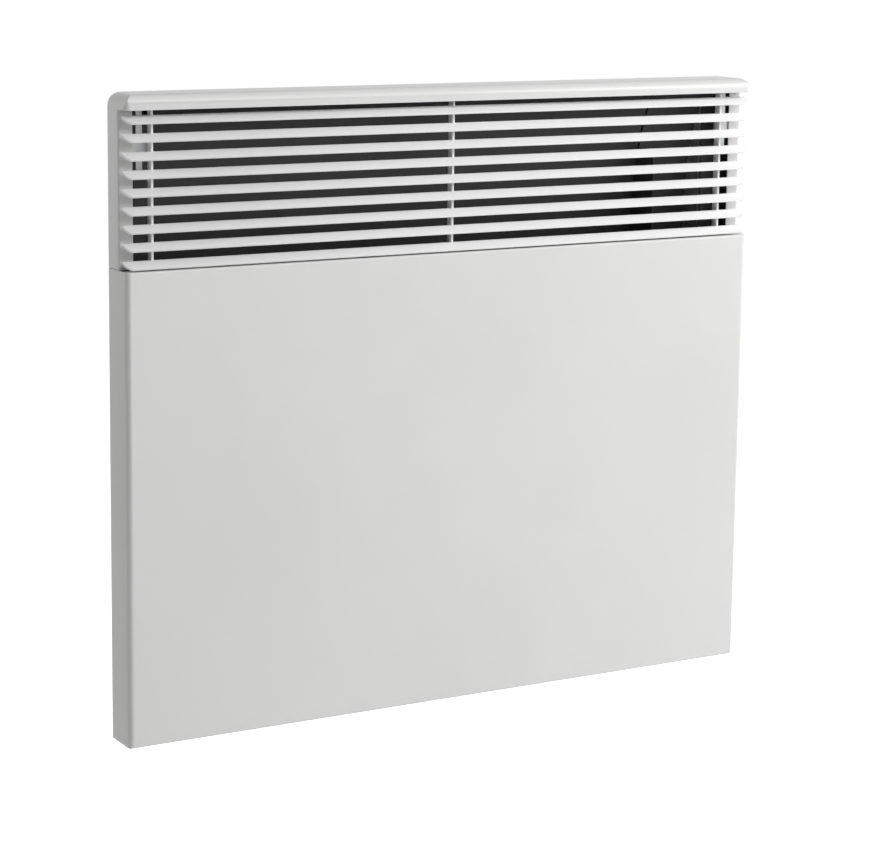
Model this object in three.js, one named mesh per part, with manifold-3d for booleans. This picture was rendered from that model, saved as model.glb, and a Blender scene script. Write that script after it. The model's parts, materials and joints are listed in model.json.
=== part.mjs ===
// Wall panel convector heater, built piece by piece.
// Millimetres, +Z up. The viewer of the front looks along +Y, with +X to the right.
// The wall is the plane y = 0 and the heater hangs in front of it, towards -Y.
// Heights are worked out from the heater's bottom edge. The last step moves the whole
// assembly down, so that the origin lies on the bracket's wall face, midway along its upper bar.

import * as THREE from 'three';
import { mergeVertices } from 'three/addons/utils/BufferGeometryUtils.js';
import Module from 'manifold-3d';

const wasm = await Module();
wasm.setup();

// ---------------------------------------------------------------- driving dimensions

// Overall
const WIDTH = 500;
const HEIGHT = 440;
const DEPTH = 80; // front face to wall
const CASING_DEPTH = 30; // front casing, without the rear tray
const STAND_OFF = 22; // rear tray to wall

// Fits
const OVERCUT = 1; // how far a cutting shape runs past the faces it opens
const FIT = 0.3; // between pieces that rest against each other
const SCREW_FIT = 0.4; // round a screw in its hole, per side
const RUNNING_FIT = 0.35; // round a turning shaft, per side

// Front panel and top housing, folded from one gauge of sheet
const CASING_SHEET = 1;
const PANEL_HEIGHT = 323.8;
const CASING_EDGE_RADIUS = 4; // upright front edges, outside
const PANEL_RIM_RADIUS = 1.6; // top and bottom front edges, outside
const PANEL_LIP = 8; // folds behind the front at the top and the bottom
const REAR_FOLD = 10; // inward folds that take the casing screws
const CAP_LIP_HEIGHT = 10.4; // front of the top housing, above the louvre
const CAP_FRONT_RADIUS = 7;
const CAP_CORNER_RADIUS = 9;
const BAND_SETBACK = 12.4; // front of the side bands, behind the front face
const BAND_FOLD = 10; // the bands' front folds, inward from the sides
const BAND_FOLD_RADIUS = 1.8;

// Louvre grille
const SLAT_PITCH = 11.95;
const SLAT_START = 1.1; // lowest slat above the panel's top edge
const SLAT_RISE = 5.1;
const SLAT_RUN = 8;
const SLAT_THICKNESS = 1.5;
const SLAT_CORNER_RADIUS = 6.5;
const RIB_TOP_GAP = 0.8; // ribs below the cap's sheet
const RIB_WIDTH = 1.8;
const RIB_INSET = 21.7; // outer ribs, in from the sides
const CLIP_WIDTH = 4.5; // strips that hold the outer ribs from behind
const CLIP_SHEET = 1;
const CLIP_INSET = 13; // in from the sides
const CLIP_DROP = 45; // below the cap's lip
const CLIP_FOOT = 8;
const CLIP_TAB_HEIGHT = 10;
const CLIP_TAB_DROP = 30;
const CLIP_TAB_REACH = 10;

// Rear tray
const TRAY_SHEET = 0.8;
const TRAY_SIDE_INSET = 24;
const TRAY_TOP_INSET = 8;
const TRAY_BOTTOM_INSET = 14;
const TRAY_EDGE_RADIUS = 3;

// Air inlets
const INLET_SLOT_LENGTH = 28;
const INLET_SLOT_WIDTH = 5;
const INLET_SLOT_PITCH = 36;
const INLET_ROW_PITCH = 9;

// Duct: shield, deflector and partition
const SHIELD_SHEET = 0.8;
const SHIELD_GAP = 9; // air space between the shield and the tray's back
const SHIELD_TOP = 318;
const SHIELD_BOTTOM = 30;
const SHIELD_SIDE_GAP = 10;
const DEFLECTOR_REACH = 34;
const DEFLECTOR_TOP_GAP = 2; // below the tray's top wall
const BAFFLE_SHEET = 0.8; // lining behind the louvre's ends
const CONTROL_BAY_WIDTH = 72; // partition to the casing's right side
const PARTITION_SHEET = 1;
const PARTITION_FOOT = 8;
const PARTITION_STEP = 20; // partition behind the front face, above the panel
const PARTITION_TOP = 388;

// Heating element
const ELEMENT_HEIGHT = 118;
const ELEMENT_SETBACK = 26; // element axis behind the front face
const FIN_DEPTH = 34;
const FIN_HEIGHT = 56;
const FIN_THICKNESS = 0.8;
const FIN_PITCH = 9;
const CORE_RADIUS = 7;
const SPIGOT_RADIUS = 4;
const SPIGOT_END = 1.6; // beyond its bush
const TERMINAL_RADIUS = 1.6;
const TERMINAL_LENGTH = 7;
const ELEMENT_END_GAP = 26; // support plates, in from the duct's ends
const SUPPORT_SHEET = 1.2;
const SUPPORT_HEIGHT = 50;
const SUPPORT_FOOT = 12;
const BUSH_RADIUS = 8;
const BUSH_LENGTH = 6;
const BUSH_FLANGE_RADIUS = 11;
const BUSH_FLANGE = 2;

// Overheat cut-out
const CUTOUT_OFFSET = 84; // right of the heater's centre
const CUTOUT_HEIGHT = 214;
const CUTOUT_RADIUS = 8.5;
const CUTOUT_DEPTH = 9;
const CUTOUT_PLATE = 1.4;
const CUTOUT_PLATE_LENGTH = 32;
const BLADE_WIDTH = 4.8;
const BLADE_THICKNESS = 0.8;
const BLADE_LENGTH = 10;
const BLADE_SPREAD = 8;

// Controls, in the right side of the casing
const MODULE_HEIGHT = 92;
const MODULE_CENTRE_HEIGHT = 264;
const MODULE_DEPTH = 24;
const MODULE_WALL = 2;
const MODULE_BODY_WIDTH = 22;
const MODULE_REAR_GAP = 0.4; // behind the bezel's rear edge, to the casing's inward fold
const BEZEL_BORDER = 1.5;
const BEZEL_PROUD = 0.6;
const FACEPLATE_THICKNESS = 9;
const KNOB_RADIUS = 8;
const KNOB_HEIGHT = 8.6;
const KNOB_PROUD = 2.4;
const KNOB_OFFSET = 16; // above the module's centre
const KNOB_WELL_GAP = 0.8;
const KNOB_POINTER_WIDTH = 2;
const KNOB_POINTER_LENGTH = 7;
const KNOB_POINTER_RISE = 0.6;
const SHAFT_RADIUS = 2.2;
const SHAFT_GRIP = 4.5; // shaft inside the knob
const SHAFT_TAIL = 1; // shaft behind the faceplate
const ROCKER_OFFSET = 20; // below the module's centre
const ROCKER_LENGTH = 17;
const ROCKER_WIDTH = 9;
const ROCKER_TILT = 8; // degrees either side of the middle
const ROCKER_DEPTH = 4.5; // below its pivot
const ROCKER_FOOT = 5.6; // narrow underside
const ROCKER_CREST = 1.6; // middle of the rocker's face above its pivot
const ROCKER_END_GAP = 0.8;
const ROCKER_PIN_RADIUS = 1.1;
const ROCKER_PIN_LENGTH = 1.3;
const LENS_RADIUS = 2;
const LENS_OFFSET = 37; // above the module's centre
const LENS_FLANGE_RADIUS = 3.2;
const LENS_FLANGE = 1;
const BOARD_THICKNESS = 1.6;
const BOARD_GAP = 10; // board to the faceplate's back
const POT_RADIUS = 7.5;
const RELAY_WIDTH = 12;
const RELAY_LENGTH = 28;
const RELAY_DEPTH = 15;
const SWITCH_LENGTH = 15;
const SWITCH_DEPTH = 9;
const LAMP_RADIUS = 1.5;

// Room sensor
const SENSOR_HEIGHT = 34;
const SENSOR_RADIUS = 2.5;
const SENSOR_LENGTH = 16;
const SENSOR_CLIP_WALL = 1.5;
const SENSOR_CLIP_LENGTH = 8;

// Mains terminals, earth and cable inlet
const TERMINAL_BLOCK_WIDTH = 30;
const TERMINAL_BLOCK_HEIGHT = 20;
const TERMINAL_BLOCK_DEPTH = 14;
const TERMINAL_BLOCK_BASE = 84;
const TERMINAL_WAY_PITCH = 9.5;
const TERMINAL_PORT_SIZE = 5;
const TERMINAL_SCREW_RADIUS = 2;
const TERMINAL_SCREW_LENGTH = 4;
const EARTH_HEIGHT = 62;
const GLAND_BORE_RADIUS = 3.8;
const GLAND_RADIUS = 6.5;
const GLAND_FLANGE_RADIUS = 9.5;
const GLAND_FLANGE = 3;
const GLAND_LENGTH = 14;
const GLAND_NUT_WIDTH = 17;
const GLAND_NUT_THICKNESS = 4;

// Inner wiring
const LEAD_RADIUS = 1.2;
const LEAD_TAIL = 4; // bared end inside a terminal
const LEAD_BEND = 8; // rounding of a lead's corners
const LEAD_RUN = 9; // straight run at each end and each side of a grommet
const GROMMET_RADIUS = 4;
const GROMMET_LIP = 1;
const GROMMET_LENGTH = 4;
const SIGNAL_LEAD_HEIGHT = 232;
const ELEMENT_LEAD_HEIGHT = 150;

// Screws
const SCREW_RADIUS = 1.75;
const SCREW_LENGTH = 8;
const SCREW_HEAD_RADIUS = 3.6;
const SCREW_HEAD_HEIGHT = 2;
const SCREW_SLOT_WIDTH = 1;
const SCREW_SLOT_DEPTH = 1;
const PANEL_SCREW_LOW = 36;
const PANEL_SCREW_HIGH = 196;
const HOUSING_SCREW_DROP = 48; // below the heater's top

// Wall bracket and its latches
const BRACKET_SHEET = 1.5;
const BRACKET_WIDTH = 250;
const BRACKET_HEIGHT = 320;
const BRACKET_BASE = 60;
const BRACKET_BAR = 28;
const WALL_HOLE_RADIUS = 3;
const WALL_HOLE_SPREAD = 156;
const HOOK_SPREAD = 212;
const HOOK_WIDTH = 18;
const HOOK_LIP = 12;
const HOOK_GAP = 2.5; // between the tray's sheet and the hook's lip
const HOOK_LOWERING = 14; // how far the heater drops as it is hung
const SLOT_GAP = 1; // round the hooks and latches in the tray's back
const LATCH_SPREAD = 196;
const LATCH_HEAD_LENGTH = 24;
const LATCH_HEAD_WIDTH = 7;
const LATCH_HEAD_THICKNESS = 2.5;
const LATCH_TUBE_RADIUS = 4.2;
const LATCH_PIN_RADIUS = 2.2;
const LATCH_POST_RADIUS = 6;
const LATCH_POST_LENGTH = 7;
const LATCH_ARM_LENGTH = 30;
const LATCH_ARM_WIDTH = 8;
const LATCH_ARM_THICKNESS = 2.5;
const LATCH_PIN_HEAD_RADIUS = 3.4;
const LATCH_PIN_HEAD = 1.2;

// Fineness of round shapes
const ROUND_SIDES = 24;
const SMALL_SIDES = 14;
const CORE_SIDES = 12;
const CORNER_STEPS = 3; // half the chords of a corner's arc
const LEAD_SIDES = 8;
const LEAD_STEP = 6;
const MERGE_DISTANCE = 1e-4; // points closer than this are one point

// ---------------------------------------------------------------- places worked out from them

const FRONT = -DEPTH;
const CASING_REAR = FRONT + CASING_DEPTH;
const TRAY_REAR = -STAND_OFF;
const SIDE = WIDTH / 2;
const SIDE_INNER = SIDE - CASING_SHEET;
const FRONT_INNER = FRONT + CASING_SHEET;
const TRAY_SIDE = SIDE - TRAY_SIDE_INSET;
const TRAY_SIDE_INNER = TRAY_SIDE - TRAY_SHEET;
const TRAY_TOP = HEIGHT - TRAY_TOP_INSET;
const TRAY_FLOOR = TRAY_BOTTOM_INSET;
const TRAY_BACK_INNER = TRAY_REAR - TRAY_SHEET;
const FLANGE_FRONT = CASING_REAR - TRAY_SHEET;
const FOLD_REAR = FLANGE_FRONT - FIT;
const FOLD_FRONT = FOLD_REAR - CASING_SHEET;
const SEAM = PANEL_HEIGHT + FIT;
const CAP_BOTTOM = HEIGHT - CAP_LIP_HEIGHT;
const BAND_FRONT = FRONT + BAND_SETBACK;
const HOUSING_SCREW_HEIGHT = HEIGHT - HOUSING_SCREW_DROP;
const BAND_FOLD_REAR = BAND_FRONT + CASING_SHEET;

const SHIELD_FRONT = TRAY_BACK_INNER - SHIELD_GAP;
const DUCT_LEFT = -TRAY_SIDE_INNER;
const PARTITION_LEFT = SIDE - CONTROL_BAY_WIDTH;
const PARTITION_RIGHT = PARTITION_LEFT + PARTITION_SHEET;
const SHIELD_LEFT = DUCT_LEFT + SHIELD_SIDE_GAP;
const SHIELD_RIGHT = PARTITION_LEFT - SHIELD_SIDE_GAP;
const ELEMENT_Y = FRONT + ELEMENT_SETBACK;
const SUPPORT_LEFT = DUCT_LEFT + ELEMENT_END_GAP;
const SUPPORT_RIGHT = PARTITION_LEFT - ELEMENT_END_GAP;

const MODULE_FRONT = FOLD_FRONT - MODULE_REAR_GAP - MODULE_DEPTH;
const MODULE_REAR = MODULE_FRONT + MODULE_DEPTH;
const MODULE_Y = (MODULE_FRONT + MODULE_REAR) / 2;
const MODULE_BOTTOM = MODULE_CENTRE_HEIGHT - MODULE_HEIGHT / 2;
const MODULE_TOP = MODULE_CENTRE_HEIGHT + MODULE_HEIGHT / 2;
const MODULE_FACE = SIDE + BEZEL_PROUD;
const MODULE_SHOULDER = SIDE_INNER - FIT;
const FACEPLATE_BACK = MODULE_FACE - FACEPLATE_THICKNESS;
const MODULE_INNER = MODULE_SHOULDER - MODULE_BODY_WIDTH;
const BOARD_FRONT = FACEPLATE_BACK - BOARD_GAP;
const BOARD_BACK = BOARD_FRONT - BOARD_THICKNESS;
const KNOB_Z = MODULE_CENTRE_HEIGHT + KNOB_OFFSET;
const KNOB_CENTRE = [MODULE_Y, KNOB_Z];
const KNOB_TOP = SIDE + KNOB_PROUD;
const KNOB_BASE = KNOB_TOP - KNOB_HEIGHT;
const KNOB_WELL_FLOOR = KNOB_BASE - KNOB_WELL_GAP;
const ROCKER_Z = MODULE_CENTRE_HEIGHT - ROCKER_OFFSET;
const ROCKER_X = MODULE_FACE - ROCKER_CREST;
const ROCKER_OPENING = ROCKER_LENGTH / 2 + ROCKER_END_GAP;
const LENS_CENTRE = [MODULE_Y, MODULE_CENTRE_HEIGHT + LENS_OFFSET];

const TERMINAL_X = (PARTITION_RIGHT + TRAY_SIDE_INNER) / 2;
const TERMINAL_FRONT = TRAY_BACK_INNER - FIT - TERMINAL_BLOCK_DEPTH;
const TERMINAL_TOP = TERMINAL_BLOCK_BASE + TERMINAL_BLOCK_HEIGHT;
const GLAND_Y = (CASING_REAR + TRAY_REAR) / 2;
const GLAND_CENTRE = [TERMINAL_X, GLAND_Y];

const BRACKET_TOP = BRACKET_BASE + BRACKET_HEIGHT;
const BRACKET_FRONT = TRAY_REAR + FIT;
const UPPER_BAR = BRACKET_TOP - BRACKET_BAR / 2;
const LOWER_BAR = BRACKET_BASE + BRACKET_BAR / 2;
const HOOK_TOP = LOWER_BAR;
const HOOK_LIP_REAR = TRAY_BACK_INNER - HOOK_GAP;
const LATCH_TUBE_REAR = -BRACKET_SHEET - FIT - LATCH_POST_LENGTH - FIT;
const LATCH_HEAD_REAR = TRAY_BACK_INNER - 2 * FIT;
const LATCH_HEAD_FRONT = LATCH_HEAD_REAR - LATCH_HEAD_THICKNESS;
const LATCH_SIDES = { left: -LATCH_SPREAD / 2, right: LATCH_SPREAD / 2 };

// ---------------------------------------------------------------- solids

function solid(geometry) {
  geometry.deleteAttribute('normal');
  geometry.deleteAttribute('uv');
  const merged = mergeVertices(geometry, MERGE_DISTANCE);
  return new wasm.Manifold(new wasm.Mesh({
    numProp: 3,
    vertProperties: Float32Array.from(merged.attributes.position.array),
    triVerts: Uint32Array.from(merged.index.array),
  }));
}

function box([x0, x1], [y0, y1], [z0, z1]) {
  const geometry = new THREE.BoxGeometry(x1 - x0, y1 - y0, z1 - z0);
  geometry.translate((x0 + x1) / 2, (y0 + y1) / 2, (z0 + z1) / 2);
  return solid(geometry);
}

// The direction that a shape's own x, its own y and its thickness take in the heater.
const PLACING = {
  x: new THREE.Matrix4().makeBasis(
    new THREE.Vector3(0, 1, 0), new THREE.Vector3(0, 0, 1), new THREE.Vector3(1, 0, 0)),
  y: new THREE.Matrix4().makeBasis(
    new THREE.Vector3(0, 0, 1), new THREE.Vector3(1, 0, 0), new THREE.Vector3(0, 1, 0)),
  z: new THREE.Matrix4(),
};

// A shape given in (y, z), (z, x) or (x, y), drawn out along x, y or z.
function prism(shape, axis, [from, to], curveSegments = CORNER_STEPS) {
  const geometry = new THREE.ExtrudeGeometry(shape, {
    depth: to - from,
    bevelEnabled: false,
    curveSegments,
  });
  geometry.translate(0, 0, from);
  geometry.applyMatrix4(PLACING[axis]);
  return solid(geometry);
}

// A shape turned about an axis: profile points are (radius, distance along the axis).
function turned(profile, axis, [u, v], sides = ROUND_SIDES) {
  const points = profile.map(([radius, along]) => new THREE.Vector2(radius, along));
  const geometry = new THREE.LatheGeometry(points, sides);
  geometry.rotateX(Math.PI / 2);
  geometry.translate(u, v, 0);
  geometry.applyMatrix4(PLACING[axis]);
  return solid(geometry);
}

function rod(radius, axis, centre, [from, to], sides = ROUND_SIDES) {
  return turned([[0, from], [radius, from], [radius, to], [0, to]], axis, centre, sides);
}

function rectangle([u0, u1], [v0, v1]) {
  const shape = new THREE.Shape();
  shape.moveTo(u0, v0);
  shape.lineTo(u1, v0);
  shape.lineTo(u1, v1);
  shape.lineTo(u0, v1);
  shape.closePath();
  return shape;
}

// A rectangle whose four corners have their own radii, counter-clockwise from the low corner.
function roundedRectangle([u0, u1], [v0, v1], [a, b, c, d]) {
  const shape = new THREE.Shape();
  shape.moveTo(u0 + a, v0);
  shape.lineTo(u1 - b, v0);
  if (b > 0) shape.absarc(u1 - b, v0 + b, b, -Math.PI / 2, 0);
  shape.lineTo(u1, v1 - c);
  if (c > 0) shape.absarc(u1 - c, v1 - c, c, 0, Math.PI / 2);
  shape.lineTo(u0 + d, v1);
  if (d > 0) shape.absarc(u0 + d, v1 - d, d, Math.PI / 2, Math.PI);
  if (a > 0) shape.absarc(u0 + a, v0 + a, a, Math.PI, 1.5 * Math.PI);
  return shape;
}

function union(pieces) {
  return pieces.reduce((whole, piece) => whole.add(piece));
}

function without(body, cuts) {
  return cuts.reduce((rest, cut) => rest.subtract(cut), body);
}

// A span made longer at both ends, so that a cut runs clear past the faces it opens.
function through([from, to]) {
  return [from - OVERCUT, to + OVERCUT];
}

// Evenly spaced places, centred on zero, as many as fit in a length.
function spread(length, pitch) {
  const count = Math.max(1, Math.floor(length / pitch));
  return Array.from({ length: count }, (_, i) => (i - (count - 1) / 2) * pitch);
}

// ---------------------------------------------------------------- materials

function paint(color, roughness = 0.5, metalness = 0) {
  return new THREE.MeshStandardMaterial({ color, roughness, metalness });
}

const FINISH = {
  casing: () => paint(0xe4e4e2, 0.42),
  grille: () => paint(0xebecea, 0.4),
  zinc: () => paint(0xa9adb0, 0.38, 1),
  black: () => paint(0x292929, 0.7),
  aluminium: () => paint(0xc4c7c9, 0.35, 1),
  brass: () => paint(0xb89a55, 0.35, 1),
  ceramic: () => paint(0xe9e2d3, 0.55),
  controls: () => paint(0xdfe0de, 0.45),
  knob: () => paint(0x8d9092, 0.5),
  dark: () => paint(0x2b2d2f, 0.5),
  board: () => paint(0x2f6b42, 0.5),
  lens: () => paint(0xd9542b, 0.2),
  rubber: () => paint(0x34363a, 0.8),
  brown: () => paint(0x6b4226, 0.6),
  blue: () => paint(0x2f5fa5, 0.6),
  white: () => paint(0xdcdad2, 0.6),
  green: () => paint(0x6f9c3a, 0.6),
};

const heater = new THREE.Group();

function addPiece(name, piece, finish) {
  const { vertProperties, triVerts } = piece.getMesh();
  const geometry = new THREE.BufferGeometry();
  geometry.setAttribute('position', new THREE.BufferAttribute(vertProperties, 3));
  geometry.setIndex(new THREE.BufferAttribute(triVerts, 1));
  geometry.computeVertexNormals();
  const mesh = new THREE.Mesh(geometry, finish());
  mesh.name = name;
  heater.add(mesh);
}

// ---------------------------------------------------------------- casing

function casingBlock(inset, front, rear, [bottom, top], elevation, section) {
  const side = SIDE - inset;
  const edge = Math.max(CASING_EDGE_RADIUS - inset, 0);
  const plan = roundedRectangle([-side, side], [front, rear], [edge, edge, 0, 0]);
  return prism(plan, 'z', [bottom, top])
    .intersect(prism(elevation, 'y', [front, rear]))
    .intersect(prism(section, 'x', [-side, side]));
}

function screwHole(x, z) {
  return rod(SCREW_RADIUS + SCREW_FIT, 'y', [z, x], through([FOLD_FRONT, CASING_REAR]), SMALL_SIDES);
}

const CASING_SCREW_X = SIDE_INNER - REAR_FOLD / 2;
const PANEL_SCREWS = [PANEL_SCREW_LOW, PANEL_SCREW_HIGH];

function panelBlock(inset, front, rear, bottom, top) {
  const side = SIDE - inset;
  const rim = Math.max(PANEL_RIM_RADIUS - inset, 0);
  const elevation = rectangle([bottom, top], [-side, side]);
  const section = roundedRectangle([front, rear], [bottom, top], [rim, 0, 0, rim]);
  return casingBlock(inset, front, rear, [bottom, top], elevation, section);
}

function moduleCutout() {
  const border = BEZEL_BORDER - FIT;
  return box(
    through([SIDE_INNER, SIDE]),
    [MODULE_FRONT + border, MODULE_REAR - border],
    [MODULE_BOTTOM + border, MODULE_TOP - border],
  );
}

function frontPanel() {
  const sheet = CASING_SHEET;
  const heights = through([0, PANEL_HEIGHT]);
  const shell = panelBlock(0, FRONT, CASING_REAR, 0, PANEL_HEIGHT);
  const hollow = panelBlock(sheet, FRONT_INNER, FOLD_FRONT, sheet, PANEL_HEIGHT - sheet);
  const backOpening = box(
    [-SIDE_INNER + REAR_FOLD, SIDE_INNER - REAR_FOLD],
    through([FRONT + PANEL_LIP + OVERCUT, CASING_REAR]),
    heights,
  );
  const sideRebate = box([-SIDE_INNER, SIDE_INNER], [FOLD_REAR, CASING_REAR + OVERCUT], heights);
  const endOpening = box([-SIDE_INNER, SIDE_INNER], [FRONT + PANEL_LIP, FOLD_FRONT], heights);
  const holes = PANEL_SCREWS.flatMap((z) => [screwHole(-CASING_SCREW_X, z), screwHole(CASING_SCREW_X, z)]);
  return without(shell, [hollow, backOpening, sideRebate, endOpening, moduleCutout(), ...holes]);
}

function housingElevation(inset, bottom) {
  const side = SIDE - inset;
  const corner = Math.max(CAP_CORNER_RADIUS - inset, 0);
  return roundedRectangle([bottom, HEIGHT - inset], [-side, side], [0, corner, corner, 0]);
}

function housingBlock(inset, front, rear, bottom) {
  const top = HEIGHT - inset;
  const nose = Math.max(CAP_FRONT_RADIUS - inset, 0);
  const section = roundedRectangle([front, rear], [bottom, top], [0, 0, 0, nose]);
  return casingBlock(inset, front, rear, [bottom, top], housingElevation(inset, bottom), section);
}

function bandBlock(inset, rear, [bottom, top]) {
  const side = SIDE - inset;
  const fold = Math.max(BAND_FOLD_RADIUS - inset, 0);
  const plan = roundedRectangle([-side, side], [BAND_FRONT + inset, rear], [fold, fold, 0, 0]);
  return prism(plan, 'z', [bottom, top]);
}

// The cap, and below it the two side bands, whose front edges are folded inward beside the louvre.
function topHousing() {
  const sheet = CASING_SHEET;
  const below = SEAM - OVERCUT;
  const cap = housingBlock(0, FRONT, CASING_REAR, CAP_BOTTOM)
    .subtract(housingBlock(sheet, FRONT_INNER, FOLD_FRONT, CAP_BOTTOM - OVERCUT));
  const bands = bandBlock(0, CASING_REAR, [SEAM, CAP_BOTTOM])
    .subtract(bandBlock(sheet, FOLD_FRONT, [below, CAP_BOTTOM + OVERCUT]));
  const mouth = SIDE - BAND_FOLD;
  const louvreOpening = box([-mouth, mouth], through([BAND_FRONT, BAND_FOLD_REAR]), [below, CAP_BOTTOM]);
  const rebate = prism(housingElevation(sheet, below), 'y', [FOLD_REAR, CASING_REAR + OVERCUT]);
  const foldSpan = through([FOLD_FRONT, FOLD_REAR]);
  const backOpening = prism(housingElevation(sheet + REAR_FOLD, below), 'y', foldSpan);
  const holes = [-CASING_SCREW_X, CASING_SCREW_X].map((x) => screwHole(x, HOUSING_SCREW_HEIGHT));
  return without(cap.add(bands), [louvreOpening, rebate, backOpening, ...holes]);
}

// One sloping blade, with its low edge at the front.
function slatSection(z) {
  const lean = Math.atan2(SLAT_RISE, SLAT_RUN);
  const tip = SLAT_THICKNESS / 2;
  const across = [Math.sin(lean) * tip, Math.cos(lean) * tip];
  const low = [FRONT + tip, z + tip];
  const length = SLAT_RUN + OVERCUT; // cut off later, at the back of the slat
  const high = [FRONT + length, z + tip + (SLAT_RISE / SLAT_RUN) * (length - tip)];
  const shape = new THREE.Shape();
  shape.moveTo(high[0] - across[0], high[1] + across[1]);
  shape.absarc(low[0], low[1], tip, Math.PI / 2 + lean, 1.5 * Math.PI + lean);
  shape.lineTo(high[0] + across[0], high[1] - across[1]);
  shape.closePath();
  return shape;
}

function slatHeights() {
  const lowest = PANEL_HEIGHT + SLAT_START;
  const count = Math.floor((CAP_BOTTOM - lowest - SLAT_RISE) / SLAT_PITCH) + 1;
  return Array.from({ length: count }, (_, i) => lowest + i * SLAT_PITCH);
}

// The slats pass in front of the side bands. Three ribs join them from behind.
function louvreGrille() {
  const side = SIDE - FIT;
  const corner = SLAT_CORNER_RADIUS;
  const slatRear = FRONT + SLAT_RUN;
  const plan = roundedRectangle([-side, side], [FRONT, slatRear], [corner, corner, 0, 0]);
  const slatPlan = prism(plan, 'z', [SEAM, CAP_BOTTOM]);
  const slats = slatHeights().map((z) => prism(slatSection(z), 'x', [-side, side], CORNER_STEPS)
    .intersect(slatPlan));
  const ribPlaces = [-SIDE + RIB_INSET, 0, SIDE - RIB_INSET];
  const ribs = ribPlaces.map((x) => box(
    [x - RIB_WIDTH / 2, x + RIB_WIDTH / 2],
    [slatRear - SLAT_THICKNESS / 2, BAND_FOLD_REAR], // starts inside the slats
    [SEAM, HEIGHT - CASING_SHEET - RIB_TOP_GAP],
  ));
  return union([...slats, ...ribs]);
}

// A folded strip under the cap, with a tab behind the outer rib and the side band's front fold.
// side is -1 at the left, +1 at the right.
function grilleClip(side) {
  const front = BAND_FOLD_REAR + FIT;
  const rear = front + CLIP_SHEET;
  const top = HEIGHT - CASING_SHEET - FIT;
  const outer = SIDE - CLIP_INSET;
  const tabInner = SIDE - RIB_INSET - RIB_WIDTH / 2;
  const tabTop = CAP_BOTTOM - CLIP_TAB_DROP;
  const span = (from, to) => [side * from, side * to].sort((a, b) => a - b);
  const strip = box(span(outer - CLIP_WIDTH, outer), [front, rear], [CAP_BOTTOM - CLIP_DROP, top]);
  const foot = box(span(outer - CLIP_WIDTH, outer), [front, rear + CLIP_FOOT], [top - CLIP_SHEET, top]);
  const tab = box(
    span(tabInner, outer + CLIP_TAB_REACH),
    [front, rear],
    [tabTop, tabTop + CLIP_TAB_HEIGHT],
  );
  return union([strip, foot, tab]);
}

// ---------------------------------------------------------------- rear tray and inlets

function slotRow(length, y, [bottom, top]) {
  return spread(length, INLET_SLOT_PITCH).map((x) => box(
    [x - INLET_SLOT_LENGTH / 2, x + INLET_SLOT_LENGTH / 2],
    [y - INLET_SLOT_WIDTH / 2, y + INLET_SLOT_WIDTH / 2],
    [bottom, top],
  ));
}

function trayBlock(inset, front, rear) {
  const side = TRAY_SIDE - inset;
  const edge = Math.max(TRAY_EDGE_RADIUS - inset, 0);
  const plan = roundedRectangle([-side, side], [front, rear], [0, 0, edge, edge]);
  return prism(plan, 'z', [TRAY_FLOOR + inset, TRAY_TOP - inset]);
}

function hookSlot(x) {
  return box(
    [x - HOOK_WIDTH / 2 - SLOT_GAP, x + HOOK_WIDTH / 2 + SLOT_GAP],
    through([TRAY_BACK_INNER, TRAY_REAR]),
    [HOOK_TOP - HOOK_LOWERING, HOOK_TOP + FIT],
  );
}

function latchSlot(x) {
  return box(
    [x - LATCH_HEAD_LENGTH / 2 - SLOT_GAP, x + LATCH_HEAD_LENGTH / 2 + SLOT_GAP],
    through([TRAY_BACK_INNER, TRAY_REAR]),
    [UPPER_BAR - LATCH_TUBE_RADIUS - SLOT_GAP, UPPER_BAR + LATCH_TUBE_RADIUS + SLOT_GAP],
  );
}

const HOOK_PLACES = [-HOOK_SPREAD / 2, HOOK_SPREAD / 2];

function rearTray() {
  const side = SIDE_INNER - FIT;
  const pan = trayBlock(0, FLANGE_FRONT, TRAY_REAR);
  const corner = CAP_CORNER_RADIUS;
  const flangeOutline = roundedRectangle(
    [CASING_SHEET + FIT, HEIGHT - CASING_SHEET - FIT], [-side, side], [0, corner, corner, 0]);
  const flange = prism(flangeOutline, 'y', [FLANGE_FRONT, CASING_REAR]);
  const hollow = trayBlock(TRAY_SHEET, FLANGE_FRONT - OVERCUT, TRAY_BACK_INNER);
  const floor = through([TRAY_FLOOR, TRAY_FLOOR + TRAY_SHEET]);
  const inlets = slotRow(2 * TRAY_SIDE_INNER - CONTROL_BAY_WIDTH, GLAND_Y, floor)
    .map((slot) => slot.translate(-CONTROL_BAY_WIDTH / 2, 0, 0));
  const glandHole = rod(GLAND_RADIUS + FIT, 'z', GLAND_CENTRE, floor);
  const screws = [...PANEL_SCREWS, HOUSING_SCREW_HEIGHT]
    .flatMap((z) => [screwHole(-CASING_SCREW_X, z), screwHole(CASING_SCREW_X, z)]);
  const back = through([TRAY_BACK_INNER, TRAY_REAR]);
  const earthHole = rod(SCREW_RADIUS + SCREW_FIT, 'y', [EARTH_HEIGHT, TERMINAL_X], back, SMALL_SIDES);
  return without(pan.add(flange), [
    hollow,
    ...inlets,
    glandHole,
    ...screws,
    earthHole,
    ...HOOK_PLACES.map(hookSlot),
    ...Object.values(LATCH_SIDES).map(latchSlot),
  ]);
}

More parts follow.
